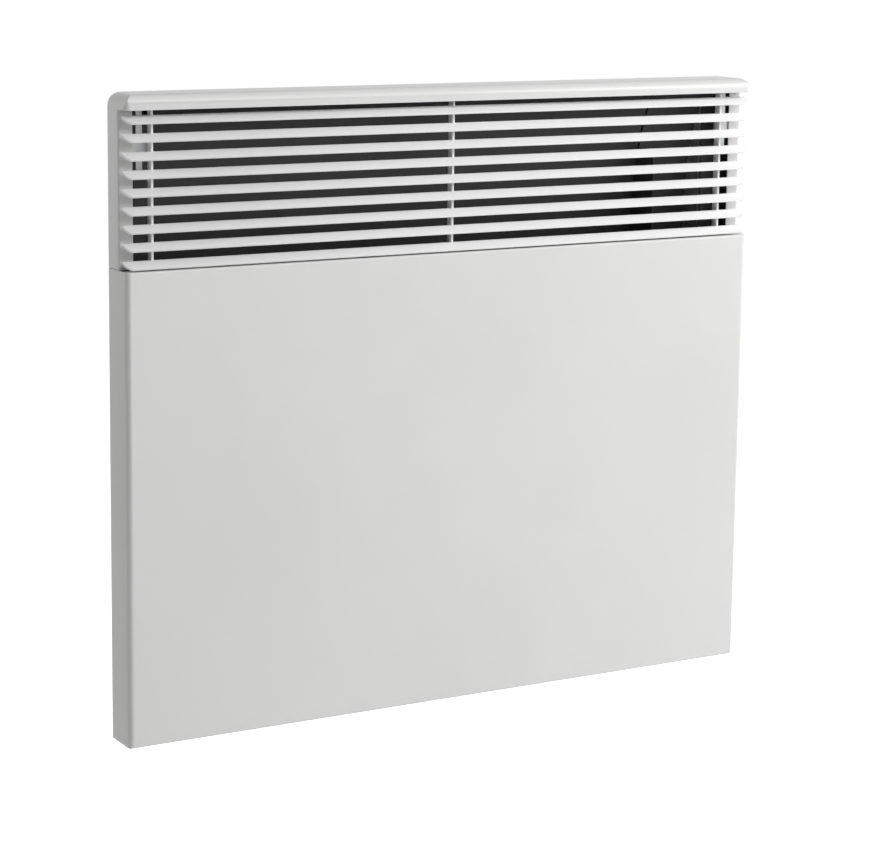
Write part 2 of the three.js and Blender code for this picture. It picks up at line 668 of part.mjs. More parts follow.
function inletGrille() {
  const side = SIDE_INNER - FIT;
  const bottom = CASING_SHEET + FIT;
  const front = FRONT_INNER + FIT + CASING_EDGE_RADIUS;
  const rear = FOLD_FRONT - FIT;
  const strip = box([-side, side], [front, rear], [bottom, bottom + TRAY_SHEET]);
  const middle = (front + rear) / 2;
  const rows = [middle - INLET_ROW_PITCH / 2, middle + INLET_ROW_PITCH / 2];
  const heights = through([bottom, bottom + TRAY_SHEET]);
  return without(strip, rows.flatMap((y) => slotRow(2 * side, y, heights)));
}

// ---------------------------------------------------------------- duct

function heatShield() {
  const back = TRAY_BACK_INNER - FIT;
  const sheet = SHIELD_SHEET;
  const block = box([SHIELD_LEFT, SHIELD_RIGHT], [SHIELD_FRONT, back], [SHIELD_BOTTOM, SHIELD_TOP]);
  const hollow = box(
    [SHIELD_LEFT + sheet, SHIELD_RIGHT - sheet],
    [SHIELD_FRONT + sheet, back + OVERCUT],
    through([SHIELD_BOTTOM, SHIELD_TOP]),
  );
  return block.subtract(hollow);
}

// The section of the curved sheet that turns the rising air forward, into the louvre.
function deflectorSection() {
  const rise = TRAY_TOP - TRAY_SHEET - DEFLECTOR_TOP_GAP - SHIELD_TOP;
  const base = SHIELD_TOP + FIT;
  const lap = SHIELD_FRONT + SHIELD_SHEET;
  const shape = new THREE.Shape();
  shape.moveTo(lap, base);
  shape.absellipse(lap - DEFLECTOR_REACH, base, DEFLECTOR_REACH, rise, 0, Math.PI / 2, false);
  shape.lineTo(lap - DEFLECTOR_REACH, base + rise - SHIELD_SHEET);
  shape.absellipse(
    lap - DEFLECTOR_REACH, base, DEFLECTOR_REACH - SHIELD_SHEET, rise - SHIELD_SHEET, Math.PI / 2, 0, true);
  shape.closePath();
  return shape;
}

function airDeflector() {
  return prism(deflectorSection(), 'x', [DUCT_LEFT + FIT, PARTITION_LEFT - FIT], CORNER_STEPS * 2);
}

// Closes the control bay off from the louvre, in line with the deflector.
function bayCover() {
  const span = [PARTITION_RIGHT + FIT, TRAY_SIDE_INNER - FIT];
  const base = SHIELD_TOP + FIT;
  const foot = box(
    [PARTITION_RIGHT + PARTITION_FOOT + FIT, TRAY_SIDE_INNER - TRAY_EDGE_RADIUS],
    [SHIELD_FRONT + SHIELD_SHEET / 2, TRAY_BACK_INNER - FIT], // starts inside the curved sheet
    [base, base + SHIELD_SHEET],
  );
  return prism(deflectorSection(), 'x', span, CORNER_STEPS * 2).add(foot);
}

// A folded sheet behind the louvre's end, between the side band and the duct.
// side is -1 at the left, +1 at the right.
function endBaffle(side) {
  const outer = SIDE_INNER - FIT;
  const inner = TRAY_SIDE_INNER + FIT;
  const front = BAND_FOLD_REAR + CLIP_SHEET + 2 * FIT;
  const rear = FOLD_FRONT - FIT;
  const heights = [SHIELD_TOP, CAP_BOTTOM - FIT];
  const span = (from, to) => [side * from, side * to].sort((a, b) => a - b);
  const lining = box(span(outer - BAFFLE_SHEET, outer), [front, rear], heights);
  const face = box(span(inner, outer), [rear - BAFFLE_SHEET, rear], heights);
  const screwPlace = [HOUSING_SCREW_HEIGHT, side * CASING_SCREW_X];
  const hole = rod(SCREW_RADIUS + SCREW_FIT, 'y', screwPlace, through([front, rear]), SMALL_SIDES);
  return lining.add(face).subtract(hole);
}

const GROMMET_PLACES = [[ELEMENT_Y, SIGNAL_LEAD_HEIGHT], [ELEMENT_Y, ELEMENT_LEAD_HEIGHT]];

function controlPartition() {
  const back = TRAY_BACK_INNER - FIT;
  const front = FRONT_INNER + FIT;
  const bottom = TRAY_FLOOR + TRAY_SHEET + FIT;
  const outline = new THREE.Shape();
  outline.moveTo(front, bottom);
  outline.lineTo(back, bottom);
  outline.lineTo(back, PARTITION_TOP);
  outline.lineTo(FRONT + PARTITION_STEP, PARTITION_TOP);
  outline.lineTo(FRONT + PARTITION_STEP, PANEL_HEIGHT - PANEL_LIP);
  outline.lineTo(front, PANEL_HEIGHT - PANEL_LIP);
  outline.closePath();
  const plate = prism(outline, 'x', [PARTITION_LEFT, PARTITION_RIGHT]);
  const foot = box(
    [PARTITION_LEFT, PARTITION_RIGHT + PARTITION_FOOT],
    [back - PARTITION_SHEET, back],
    [TERMINAL_TOP + FIT, PARTITION_TOP],
  );
  const holes = GROMMET_PLACES.map((place) => rod(
    GROMMET_RADIUS - GROMMET_LIP, 'x', place, through([PARTITION_LEFT, PARTITION_RIGHT]), SMALL_SIDES));
  return without(plate.add(foot), holes);
}

// A rubber ring with a groove that holds the sheet's edge.
function partitionGrommet(place) {
  const middle = (PARTITION_LEFT + PARTITION_RIGHT) / 2;
  const bore = LEAD_RADIUS + FIT;
  const neck = GROMMET_RADIUS - GROMMET_LIP - FIT;
  const half = GROMMET_LENGTH / 2;
  const groove = PARTITION_SHEET / 2 + FIT;
  return turned([
    [bore, middle - half], [GROMMET_RADIUS, middle - half], [GROMMET_RADIUS, middle - groove],
    [neck, middle - groove], [neck, middle + groove], [GROMMET_RADIUS, middle + groove],
    [GROMMET_RADIUS, middle + half], [bore, middle + half], [bore, middle - half],
  ], 'x', place, SMALL_SIDES);
}

// ---------------------------------------------------------------- heating element

const ELEMENT_AXIS = [ELEMENT_Y, ELEMENT_HEIGHT];
const SPIGOT_REACH = BUSH_LENGTH / 2 + SPIGOT_END;

function heatingElement() {
  const coreLeft = SUPPORT_LEFT + BUSH_LENGTH / 2 + BUSH_FLANGE + FIT;
  const coreRight = SUPPORT_RIGHT - BUSH_LENGTH / 2 - BUSH_FLANGE - FIT;
  const left = SUPPORT_LEFT - SPIGOT_REACH;
  const right = SUPPORT_RIGHT + SPIGOT_REACH;
  const core = turned([
    [0, left - TERMINAL_LENGTH], [TERMINAL_RADIUS, left - TERMINAL_LENGTH], [TERMINAL_RADIUS, left],
    [SPIGOT_RADIUS, left], [SPIGOT_RADIUS, coreLeft], [CORE_RADIUS, coreLeft],
    [CORE_RADIUS, coreRight], [SPIGOT_RADIUS, coreRight], [SPIGOT_RADIUS, right],
    [TERMINAL_RADIUS, right], [TERMINAL_RADIUS, right + TERMINAL_LENGTH], [0, right + TERMINAL_LENGTH],
  ], 'x', ELEMENT_AXIS, CORE_SIDES);
  const middle = (coreLeft + coreRight) / 2;
  const fins = spread(coreRight - coreLeft - FIN_PITCH, FIN_PITCH).map((offset) => box(
    [middle + offset - FIN_THICKNESS / 2, middle + offset + FIN_THICKNESS / 2],
    [ELEMENT_Y - FIN_DEPTH / 2, ELEMENT_Y + FIN_DEPTH / 2],
    [ELEMENT_HEIGHT - FIN_HEIGHT / 2, ELEMENT_HEIGHT + FIN_HEIGHT / 2],
  ));
  return union([core, ...fins]);
}

// outward is -1 for the left support and +1 for the right one: the way its foot points.
function elementSupport(x, outward) {
  const back = SHIELD_FRONT - FIT;
  const half = SUPPORT_SHEET / 2;
  const front = ELEMENT_Y - FIN_DEPTH / 2;
  const heights = [ELEMENT_HEIGHT - SUPPORT_HEIGHT / 2, ELEMENT_HEIGHT + SUPPORT_HEIGHT / 2];
  const plate = box([x - half, x + half], [front, back], heights);
  const ends = [x - outward * half, x - outward * SUPPORT_FOOT].sort((a, b) => a - b);
  const foot = box(ends, [back - SUPPORT_SHEET, back], heights);
  const hole = rod(BUSH_RADIUS + FIT, 'x', ELEMENT_AXIS, through([x - half, x + half]));
  return plate.add(foot).subtract(hole);
}

function elementBush(x, outward) {
  const inner = x - outward * (BUSH_LENGTH / 2);
  const flangeEnd = inner - outward * BUSH_FLANGE;
  const outer = x + outward * (BUSH_LENGTH / 2);
  const sleeve = rod(BUSH_RADIUS, 'x', ELEMENT_AXIS, [inner, outer].sort((a, b) => a - b));
  const flange = rod(BUSH_FLANGE_RADIUS, 'x', ELEMENT_AXIS, [inner, flangeEnd].sort((a, b) => a - b));
  const ends = [flangeEnd, outer].sort((a, b) => a - b);
  const bore = rod(SPIGOT_RADIUS + FIT, 'x', ELEMENT_AXIS, through(ends));
  return sleeve.add(flange).subtract(bore);
}

const CUTOUT_REAR = SHIELD_FRONT - FIT;
const BLADE_TOP = CUTOUT_HEIGHT + CUTOUT_RADIUS + BLADE_LENGTH / 2;
const BLADE_Y = CUTOUT_REAR - CUTOUT_DEPTH + BLADE_THICKNESS / 2;

function overheatCutout() {
  const plate = box(
    [CUTOUT_OFFSET - CUTOUT_PLATE_LENGTH / 2, CUTOUT_OFFSET + CUTOUT_PLATE_LENGTH / 2],
    [CUTOUT_REAR - CUTOUT_PLATE, CUTOUT_REAR],
    [CUTOUT_HEIGHT - CUTOUT_RADIUS / 2, CUTOUT_HEIGHT + CUTOUT_RADIUS / 2],
  );
  const front = CUTOUT_REAR - CUTOUT_DEPTH;
  const can = rod(CUTOUT_RADIUS, 'y', [CUTOUT_HEIGHT, CUTOUT_OFFSET], [front, CUTOUT_REAR]);
  const blades = [-1, 1].map((side) => {
    const x = CUTOUT_OFFSET + side * (BLADE_SPREAD / 2);
    return box(
      [x - BLADE_WIDTH / 2, x + BLADE_WIDTH / 2],
      [front, front + BLADE_THICKNESS],
      [CUTOUT_HEIGHT, BLADE_TOP],
    );
  });
  return union([plate, can, ...blades]);
}

// ---------------------------------------------------------------- controls

function controlModule() {
  const border = BEZEL_BORDER;
  const body = box(
    [MODULE_INNER, MODULE_SHOULDER],
    [MODULE_FRONT, MODULE_REAR],
    [MODULE_BOTTOM, MODULE_TOP],
  );
  const bezel = box(
    [FACEPLATE_BACK, MODULE_FACE],
    [MODULE_FRONT + border, MODULE_REAR - border],
    [MODULE_BOTTOM + border, MODULE_TOP - border],
  );
  const cavity = box(
    [MODULE_INNER - OVERCUT, FACEPLATE_BACK],
    [MODULE_FRONT + MODULE_WALL, MODULE_REAR - MODULE_WALL],
    [MODULE_BOTTOM + MODULE_WALL, MODULE_TOP - MODULE_WALL],
  );
  const depth = through([FACEPLATE_BACK, MODULE_FACE]);
  const well = rod(KNOB_RADIUS + KNOB_WELL_GAP, 'x', KNOB_CENTRE, [KNOB_WELL_FLOOR, MODULE_FACE + OVERCUT]);
  const shaftHole = rod(SHAFT_RADIUS + RUNNING_FIT, 'x', KNOB_CENTRE, depth, SMALL_SIDES);
  const rockerOpening = box(
    depth,
    [MODULE_Y - ROCKER_WIDTH / 2 - FIT, MODULE_Y + ROCKER_WIDTH / 2 + FIT],
    [ROCKER_Z - ROCKER_OPENING, ROCKER_Z + ROCKER_OPENING],
  );
  const pinReach = ROCKER_WIDTH / 2 + ROCKER_PIN_LENGTH + FIT;
  const pinSpan = [MODULE_Y - pinReach, MODULE_Y + pinReach];
  const pinHole = rod(ROCKER_PIN_RADIUS + RUNNING_FIT, 'y', [ROCKER_Z, ROCKER_X], pinSpan, SMALL_SIDES);
  const lensHole = rod(LENS_RADIUS + FIT, 'x', LENS_CENTRE, depth, SMALL_SIDES);
  const leadNotch = box(
    [MODULE_INNER - OVERCUT, BOARD_BACK],
    [MODULE_Y - 2 * LEAD_RADIUS, MODULE_Y + 2 * LEAD_RADIUS],
    through([MODULE_BOTTOM, MODULE_BOTTOM + MODULE_WALL]),
  );
  return without(body.add(bezel), [cavity, well, shaftHole, rockerOpening, pinHole, lensHole, leadNotch]);
}

function thermostatKnob() {
  const grip = rod(KNOB_RADIUS, 'x', KNOB_CENTRE, [KNOB_BASE, KNOB_TOP]);
  const pointer = box(
    [KNOB_TOP - KNOB_POINTER_RISE, KNOB_TOP + KNOB_POINTER_RISE],
    [MODULE_Y - KNOB_POINTER_WIDTH / 2, MODULE_Y + KNOB_POINTER_WIDTH / 2],
    [KNOB_Z, KNOB_Z + KNOB_POINTER_LENGTH],
  );
  const socketDepth = [KNOB_BASE - OVERCUT, KNOB_BASE + SHAFT_GRIP + FIT];
  const socket = rod(SHAFT_RADIUS + FIT, 'x', KNOB_CENTRE, socketDepth, SMALL_SIDES);
  return grip.add(pointer).subtract(socket);
}

function thermostatShaft() {
  const length = [FACEPLATE_BACK - SHAFT_TAIL, KNOB_BASE + SHAFT_GRIP];
  return rod(SHAFT_RADIUS, 'x', KNOB_CENTRE, length, SMALL_SIDES);
}

function onOffRocker() {
  const half = ROCKER_LENGTH / 2;
  const slope = Math.tan(THREE.MathUtils.degToRad(ROCKER_TILT));
  const shape = new THREE.Shape();
  shape.moveTo(-half, ROCKER_CREST + half * slope);
  shape.lineTo(-half, -ROCKER_DEPTH / 2);
  shape.lineTo(-ROCKER_FOOT / 2, -ROCKER_DEPTH);
  shape.lineTo(ROCKER_FOOT / 2, -ROCKER_DEPTH);
  shape.lineTo(half, -ROCKER_DEPTH / 2);
  shape.lineTo(half, ROCKER_CREST + half * slope);
  shape.lineTo(0, ROCKER_CREST);
  shape.closePath();
  const key = prism(shape, 'y', [-ROCKER_WIDTH / 2, ROCKER_WIDTH / 2]);
  const reach = ROCKER_WIDTH / 2 + ROCKER_PIN_LENGTH;
  const pin = rod(ROCKER_PIN_RADIUS, 'y', [0, 0], [-reach, reach], SMALL_SIDES);
  return key.add(pin).rotate([0, ROCKER_TILT, 0]).translate([ROCKER_X, MODULE_Y, ROCKER_Z]);
}

function pilotLens() {
  const flangeEnd = FACEPLATE_BACK - FIT;
  return turned([
    [0, flangeEnd - LENS_FLANGE],
    [LENS_FLANGE_RADIUS, flangeEnd - LENS_FLANGE], [LENS_FLANGE_RADIUS, flangeEnd],
    [LENS_RADIUS, flangeEnd], [LENS_RADIUS, MODULE_FACE + FIT], [0, MODULE_FACE + FIT],
  ], 'x', LENS_CENTRE, SMALL_SIDES);
}

const BOARD_WALL = MODULE_WALL + FIT;

function controlBoard() {
  return box(
    [BOARD_BACK, BOARD_FRONT],
    [MODULE_FRONT + BOARD_WALL, MODULE_REAR - BOARD_WALL],
    [MODULE_BOTTOM + BOARD_WALL, MODULE_TOP - BOARD_WALL],
  );
}

function potentiometer() {
  return rod(POT_RADIUS, 'x', KNOB_CENTRE, [BOARD_FRONT + FIT, FACEPLATE_BACK - SHAFT_TAIL - FIT]);
}

function pilotLamp() {
  const front = FACEPLATE_BACK - LENS_FLANGE - 2 * FIT;
  return rod(LAMP_RADIUS, 'x', LENS_CENTRE, [BOARD_FRONT + FIT, front], SMALL_SIDES);
}

function switchContacts() {
  const swing = (ROCKER_LENGTH / 2) * Math.sin(THREE.MathUtils.degToRad(ROCKER_TILT));
  const front = ROCKER_X - ROCKER_DEPTH - swing;
  return box(
    [BOARD_FRONT + FIT, Math.min(front, FACEPLATE_BACK) - FIT],
    [MODULE_Y - SWITCH_DEPTH / 2, MODULE_Y + SWITCH_DEPTH / 2],
    [ROCKER_Z - SWITCH_LENGTH / 2, ROCKER_Z + SWITCH_LENGTH / 2],
  );
}

const RELAY_X = BOARD_BACK - FIT - RELAY_DEPTH;

function relay() {
  return box(
    [RELAY_X, BOARD_BACK - FIT],
    [MODULE_Y - RELAY_WIDTH / 2, MODULE_Y + RELAY_WIDTH / 2],
    [MODULE_CENTRE_HEIGHT - RELAY_LENGTH / 2, MODULE_CENTRE_HEIGHT + RELAY_LENGTH / 2],
  );
}

// ---------------------------------------------------------------- sensor, terminals, inlet

const SENSOR_X = SIDE_INNER - FIT - SENSOR_CLIP_WALL - SENSOR_RADIUS - FIT;

function roomSensor() {
  return rod(
    SENSOR_RADIUS, 'z', [SENSOR_X, MODULE_Y], [SENSOR_HEIGHT, SENSOR_HEIGHT + SENSOR_LENGTH], SMALL_SIDES);
}

function sensorClip() {
  const grip = SENSOR_RADIUS + FIT;
  const middle = SENSOR_HEIGHT + SENSOR_LENGTH / 2;
  const heights = [middle - SENSOR_CLIP_LENGTH / 2, middle + SENSOR_CLIP_LENGTH / 2];
  const block = box(
    [SENSOR_X - SENSOR_RADIUS / 2, SIDE_INNER - FIT],
    [MODULE_Y - grip - SENSOR_CLIP_WALL, MODULE_Y + grip + SENSOR_CLIP_WALL],
    heights,
  );
  return block.subtract(rod(grip, 'z', [SENSOR_X, MODULE_Y], through(heights), SMALL_SIDES));
}

const TERMINAL_SCREW_Z = TERMINAL_BLOCK_BASE + TERMINAL_BLOCK_HEIGHT / 2;
const TERMINAL_WAYS = [-1, 0, 1].map((way) => TERMINAL_X + way * TERMINAL_WAY_PITCH);

function terminalBlock() {
  const back = TRAY_BACK_INNER - FIT;
  const body = box(
    [TERMINAL_X - TERMINAL_BLOCK_WIDTH / 2, TERMINAL_X + TERMINAL_BLOCK_WIDTH / 2],
    [TERMINAL_FRONT, back],
    [TERMINAL_BLOCK_BASE, TERMINAL_TOP],
  );
  const portHalf = TERMINAL_PORT_SIZE / 2;
  const middle = (TERMINAL_FRONT + back) / 2;
  const heights = through([TERMINAL_BLOCK_BASE, TERMINAL_TOP]);
  const ports = TERMINAL_WAYS.map((x) => box(
    [x - portHalf, x + portHalf], [middle - portHalf, middle + portHalf], heights));
  const wellDepth = [TERMINAL_FRONT - OVERCUT, middle];
  const wells = TERMINAL_WAYS.map((x) => rod(
    TERMINAL_SCREW_RADIUS + FIT, 'y', [TERMINAL_SCREW_Z, x], wellDepth, SMALL_SIDES));
  return without(body, [...ports, ...wells]);
}

// Cuts a screwdriver's slot across a head, over the given stretch of its axis.
function slotted(body, axis, [u, v], radius, span) {
  const half = SCREW_SLOT_WIDTH / 2;
  const outline = rectangle(through([u - radius, u + radius]), [v - half, v + half]);
  return body.subtract(prism(outline, axis, span));
}

function terminalScrew(x) {
  const centre = [TERMINAL_SCREW_Z, x];
  const front = TERMINAL_FRONT + FIT;
  const body = rod(TERMINAL_SCREW_RADIUS, 'y', centre, [front, front + TERMINAL_SCREW_LENGTH], SMALL_SIDES);
  return slotted(body, 'y', centre, TERMINAL_SCREW_RADIUS, [front - OVERCUT, front + SCREW_SLOT_DEPTH]);
}

function earthScrew() {
  const back = TRAY_REAR + FIT;
  const face = TRAY_BACK_INNER - FIT;
  const centre = [EARTH_HEIGHT, TERMINAL_X];
  const body = turned([
    [0, face - SCREW_HEAD_HEIGHT], [SCREW_HEAD_RADIUS, face - SCREW_HEAD_HEIGHT], [SCREW_HEAD_RADIUS, face],
    [SCREW_RADIUS, face], [SCREW_RADIUS, back], [0, back],
  ], 'y', centre, SMALL_SIDES);
  const top = face - SCREW_HEAD_HEIGHT;
  return slotted(body, 'y', centre, SCREW_HEAD_RADIUS, [top - OVERCUT, top + SCREW_SLOT_DEPTH]);
}

function cableGland() {
  const under = TRAY_FLOOR - FIT;
  const top = under - GLAND_FLANGE + GLAND_LENGTH;
  return turned([
    [GLAND_BORE_RADIUS, under - GLAND_FLANGE], [GLAND_FLANGE_RADIUS, under - GLAND_FLANGE],
    [GLAND_FLANGE_RADIUS, under], [GLAND_RADIUS, under], [GLAND_RADIUS, top],
    [GLAND_BORE_RADIUS, top], [GLAND_BORE_RADIUS, under - GLAND_FLANGE],
  ], 'z', GLAND_CENTRE);
}

function glandNut() {
  const base = TRAY_FLOOR + TRAY_SHEET + FIT;
  const corner = GLAND_NUT_WIDTH / 2 / Math.cos(Math.PI / 6);
  const corners = Array.from({ length: 6 }, (_, i) => new THREE.Vector2(
    TERMINAL_X + corner * Math.cos((i * Math.PI) / 3),
    GLAND_Y + corner * Math.sin((i * Math.PI) / 3),
  ));
  const heights = [base, base + GLAND_NUT_THICKNESS];
  const nut = prism(new THREE.Shape(corners), 'z', heights);
  return nut.subtract(rod(GLAND_RADIUS + FIT, 'z', GLAND_CENTRE, through(heights)));
}

// ---------------------------------------------------------------- wiring

// An insulated lead along straight runs, with its corners rounded off.
function lead(places) {
  const points = places.map((place) => new THREE.Vector3(...place));
  const path = new THREE.CurvePath();
  let start = points[0];
  for (let i = 1; i < points.length - 1; i += 1) {
    const corner = points[i];
    const before = points[i - 1].clone().sub(corner);
    const after = points[i + 1].clone().sub(corner);
    const bend = Math.min(LEAD_BEND, before.length() / 2, after.length() / 2);
    const entry = corner.clone().add(before.setLength(bend));
    const exit = corner.clone().add(after.setLength(bend));
    if (start.distanceTo(entry) > MERGE_DISTANCE) path.add(new THREE.LineCurve3(start, entry));
    path.add(new THREE.QuadraticBezierCurve3(entry, corner, exit));
    start = exit;
  }
  path.add(new THREE.LineCurve3(start, points[points.length - 1]));
  const section = new THREE.Shape();
  section.absarc(0, 0, LEAD_RADIUS, 0, 2 * Math.PI);
  return solid(new THREE.ExtrudeGeometry(section, {
    steps: Math.ceil(path.getLength() / LEAD_STEP),
    curveSegments: LEAD_SIDES / 2,
    extrudePath: path,
  }));
}

const TERMINAL_MIDDLE = (TERMINAL_FRONT + TRAY_BACK_INNER - FIT) / 2;
const RELAY_BOTTOM = MODULE_CENTRE_HEIGHT - RELAY_LENGTH / 2;
const RELAY_MIDDLE = RELAY_X + RELAY_DEPTH / 2;

// From the terminal block's live way up to the relay.
function supplyLead() {
  const x = TERMINAL_WAYS[2];
  return lead([
    [x, TERMINAL_MIDDLE, TERMINAL_TOP - LEAD_TAIL],
    [x, TERMINAL_MIDDLE, TERMINAL_TOP + LEAD_RUN],
    [RELAY_MIDDLE, MODULE_Y, RELAY_BOTTOM - LEAD_RUN],
    [RELAY_MIDDLE, MODULE_Y, RELAY_BOTTOM - FIT],
  ]);
}

// From the relay, through the upper grommet, to the cut-out's right blade.
function switchedLead() {
  const [grommetY, grommetZ] = GROMMET_PLACES[0];
  const blade = CUTOUT_OFFSET + BLADE_SPREAD / 2;
  return lead([
    [RELAY_X - FIT, MODULE_Y, MODULE_CENTRE_HEIGHT],
    [RELAY_X - LEAD_RUN, MODULE_Y, MODULE_CENTRE_HEIGHT],
    [PARTITION_RIGHT + LEAD_RUN, grommetY, grommetZ],
    [PARTITION_LEFT - LEAD_RUN, grommetY, grommetZ],
    [blade, BLADE_Y, BLADE_TOP + 2 * LEAD_RUN],
    [blade, BLADE_Y, BLADE_TOP + FIT],
  ]);
}

// From the cut-out's left blade, over the fins, to the element's left end.
function elementLead() {
  const blade = CUTOUT_OFFSET - BLADE_SPREAD / 2;
  const end = SUPPORT_LEFT - SPIGOT_REACH - TERMINAL_LENGTH - FIT - LEAD_RADIUS;
  const run = ELEMENT_HEIGHT + FIN_HEIGHT / 2 + 2 * LEAD_RUN;
  return lead([
    [blade, BLADE_Y, BLADE_TOP + FIT],
    [blade, BLADE_Y, BLADE_TOP + LEAD_RUN],
    [blade - CUTOUT_PLATE_LENGTH, BLADE_Y, BLADE_TOP + LEAD_RUN],
    [blade - CUTOUT_PLATE_LENGTH, BLADE_Y, run],
    [end, BLADE_Y, run],
    [end, ELEMENT_Y, run - LEAD_RUN],
    [end, ELEMENT_Y, ELEMENT_HEIGHT - LEAD_RADIUS],
  ]);
}

// From the terminal block's neutral way, through the lower grommet, to the element's right end.
function returnLead() {
  const x = TERMINAL_WAYS[0];
  const end = SUPPORT_RIGHT + SPIGOT_REACH + TERMINAL_LENGTH + FIT + LEAD_RADIUS;
  const [grommetY, grommetZ] = GROMMET_PLACES[1];
  return lead([
    [x, TERMINAL_MIDDLE, TERMINAL_TOP - LEAD_TAIL],
    [x, TERMINAL_MIDDLE, TERMINAL_TOP + LEAD_RUN],
    [PARTITION_RIGHT + LEAD_RUN, grommetY, grommetZ],
    [end, grommetY, grommetZ],
    [end, ELEMENT_Y, ELEMENT_HEIGHT - LEAD_RADIUS],
  ]);
}

// From the terminal block's earth way down to the screw on the tray.
function earthLead() {
  const x = TERMINAL_WAYS[1];
  const end = TRAY_BACK_INNER - FIT - SCREW_HEAD_HEIGHT - FIT - LEAD_RADIUS;
  return lead([
    [x, TERMINAL_MIDDLE, TERMINAL_BLOCK_BASE + LEAD_TAIL],
    [x, TERMINAL_MIDDLE, TERMINAL_BLOCK_BASE - LEAD_RUN / 2],
    [x, end, EARTH_HEIGHT + SCREW_HEAD_RADIUS],
    [x, end, EARTH_HEIGHT - SCREW_HEAD_RADIUS],
  ]);
}

// From the board down to the sensor's top.
function sensorLead() {
  const board = MODULE_BOTTOM + BOARD_WALL;
  const x = BOARD_BACK - LEAD_RADIUS - FIT;
  const top = SENSOR_HEIGHT + SENSOR_LENGTH;
  return lead([
    [x, MODULE_Y, board + LEAD_RUN],
    [x, MODULE_Y, board - LEAD_RUN],
    [SENSOR_X, MODULE_Y, top + LEAD_RUN],
    [SENSOR_X, MODULE_Y, top + FIT],
  ]);
}

// ---------------------------------------------------------------- wall bracket and latches

function wallBracket() {
  const half = BRACKET_WIDTH / 2;
  const sheet = BRACKET_SHEET;
  const plate = box([-half, half], [-sheet, 0], [BRACKET_BASE, BRACKET_TOP]);
  const cheeks = [[-half, -half + sheet], [half - sheet, half]].map((span) => box(
    span, [BRACKET_FRONT, 0], [BRACKET_BASE, BRACKET_TOP]));
  const hooks = HOOK_PLACES.flatMap((x) => {
    const span = [x - HOOK_WIDTH / 2, x + HOOK_WIDTH / 2];
    const lipFront = HOOK_LIP_REAR - sheet;
    const base = HOOK_TOP - sheet;
    const tongue = box(span, [lipFront, 0], [base, HOOK_TOP]);
    const lip = box(span, [lipFront, HOOK_LIP_REAR], [base, base + HOOK_LIP]);
    return [tongue, lip];
  });
  const thickness = through([-sheet, 0]);
  const window = box(
    [-half + BRACKET_BAR, half - BRACKET_BAR],
    thickness,
    [BRACKET_BASE + BRACKET_BAR, BRACKET_TOP - BRACKET_BAR],
  );
  const wallHoles = [LOWER_BAR, UPPER_BAR].flatMap((z) => [-1, 1].map((side) => rod(
    WALL_HOLE_RADIUS, 'y', [z, side * (WALL_HOLE_SPREAD / 2)], thickness, SMALL_SIDES)));
  const pinHoles = Object.values(LATCH_SIDES).map((x) => rod(
    LATCH_PIN_RADIUS + FIT, 'y', [UPPER_BAR, x], thickness, SMALL_SIDES));
  return without(union([plate, ...cheeks, ...hooks]), [window, ...wallHoles, ...pinHoles]);
}

// A fixed pin: its post stands on the bar and its head keeps the latch on.
function latchPin(x) {
  const post = -BRACKET_SHEET - FIT;
  const shoulder = post - LATCH_POST_LENGTH;
  const neck = LATCH_HEAD_FRONT - FIT;
  return turned([
    [0, neck - LATCH_PIN_HEAD],
    [LATCH_PIN_HEAD_RADIUS, neck - LATCH_PIN_HEAD], [LATCH_PIN_HEAD_RADIUS, neck],
    [LATCH_PIN_RADIUS, neck], [LATCH_PIN_RADIUS, shoulder], [LATCH_POST_RADIUS, shoulder],
    [LATCH_POST_RADIUS, post], [LATCH_PIN_RADIUS, post], [LATCH_PIN_RADIUS, -FIT], [0, -FIT],
  ], 'y', [UPPER_BAR, x], SMALL_SIDES);
}

// A quarter-turn latch, drawn locked: its head stands upright behind the tray's sheet.
// inward is +1 on the left latch and -1 on the right one: the way its arm points.
function latch(x, inward) {
  const tube = rod(LATCH_TUBE_RADIUS, 'y', [UPPER_BAR, x], [LATCH_HEAD_FRONT, LATCH_TUBE_REAR]);
  const head = box(
    [x - LATCH_HEAD_WIDTH / 2, x + LATCH_HEAD_WIDTH / 2],
    [LATCH_HEAD_FRONT, LATCH_HEAD_REAR],
    [UPPER_BAR - LATCH_HEAD_LENGTH / 2, UPPER_BAR + LATCH_HEAD_LENGTH / 2],
  );
  const armEnds = [x, x + inward * LATCH_ARM_LENGTH].sort((a, b) => a - b);
  const arm = box(
    armEnds,
    [LATCH_TUBE_REAR - LATCH_ARM_THICKNESS, LATCH_TUBE_REAR],
    [UPPER_BAR - LATCH_ARM_WIDTH / 2, UPPER_BAR + LATCH_ARM_WIDTH / 2],
  );
  const length = through([LATCH_HEAD_FRONT, LATCH_TUBE_REAR]);
  const bore = rod(LATCH_PIN_RADIUS + RUNNING_FIT, 'y', [UPPER_BAR, x], length, SMALL_SIDES);
  return union([tube, head, arm]).subtract(bore);
}

function casingScrew(x, z) {
  const face = CASING_REAR + FIT;
  const centre = [z, x];
  const body = turned([
    [0, face - SCREW_LENGTH], [SCREW_RADIUS, face - SCREW_LENGTH], [SCREW_RADIUS, face],
    [SCREW_HEAD_RADIUS, face], [SCREW_HEAD_RADIUS, face + SCREW_HEAD_HEIGHT], [0, face + SCREW_HEAD_HEIGHT],
  ], 'y', centre, SMALL_SIDES);
  const top = face + SCREW_HEAD_HEIGHT;
  return slotted(body, 'y', centre, SCREW_HEAD_RADIUS, [top - SCREW_SLOT_DEPTH, top + OVERCUT]);
}

// ---------------------------------------------------------------- assembly

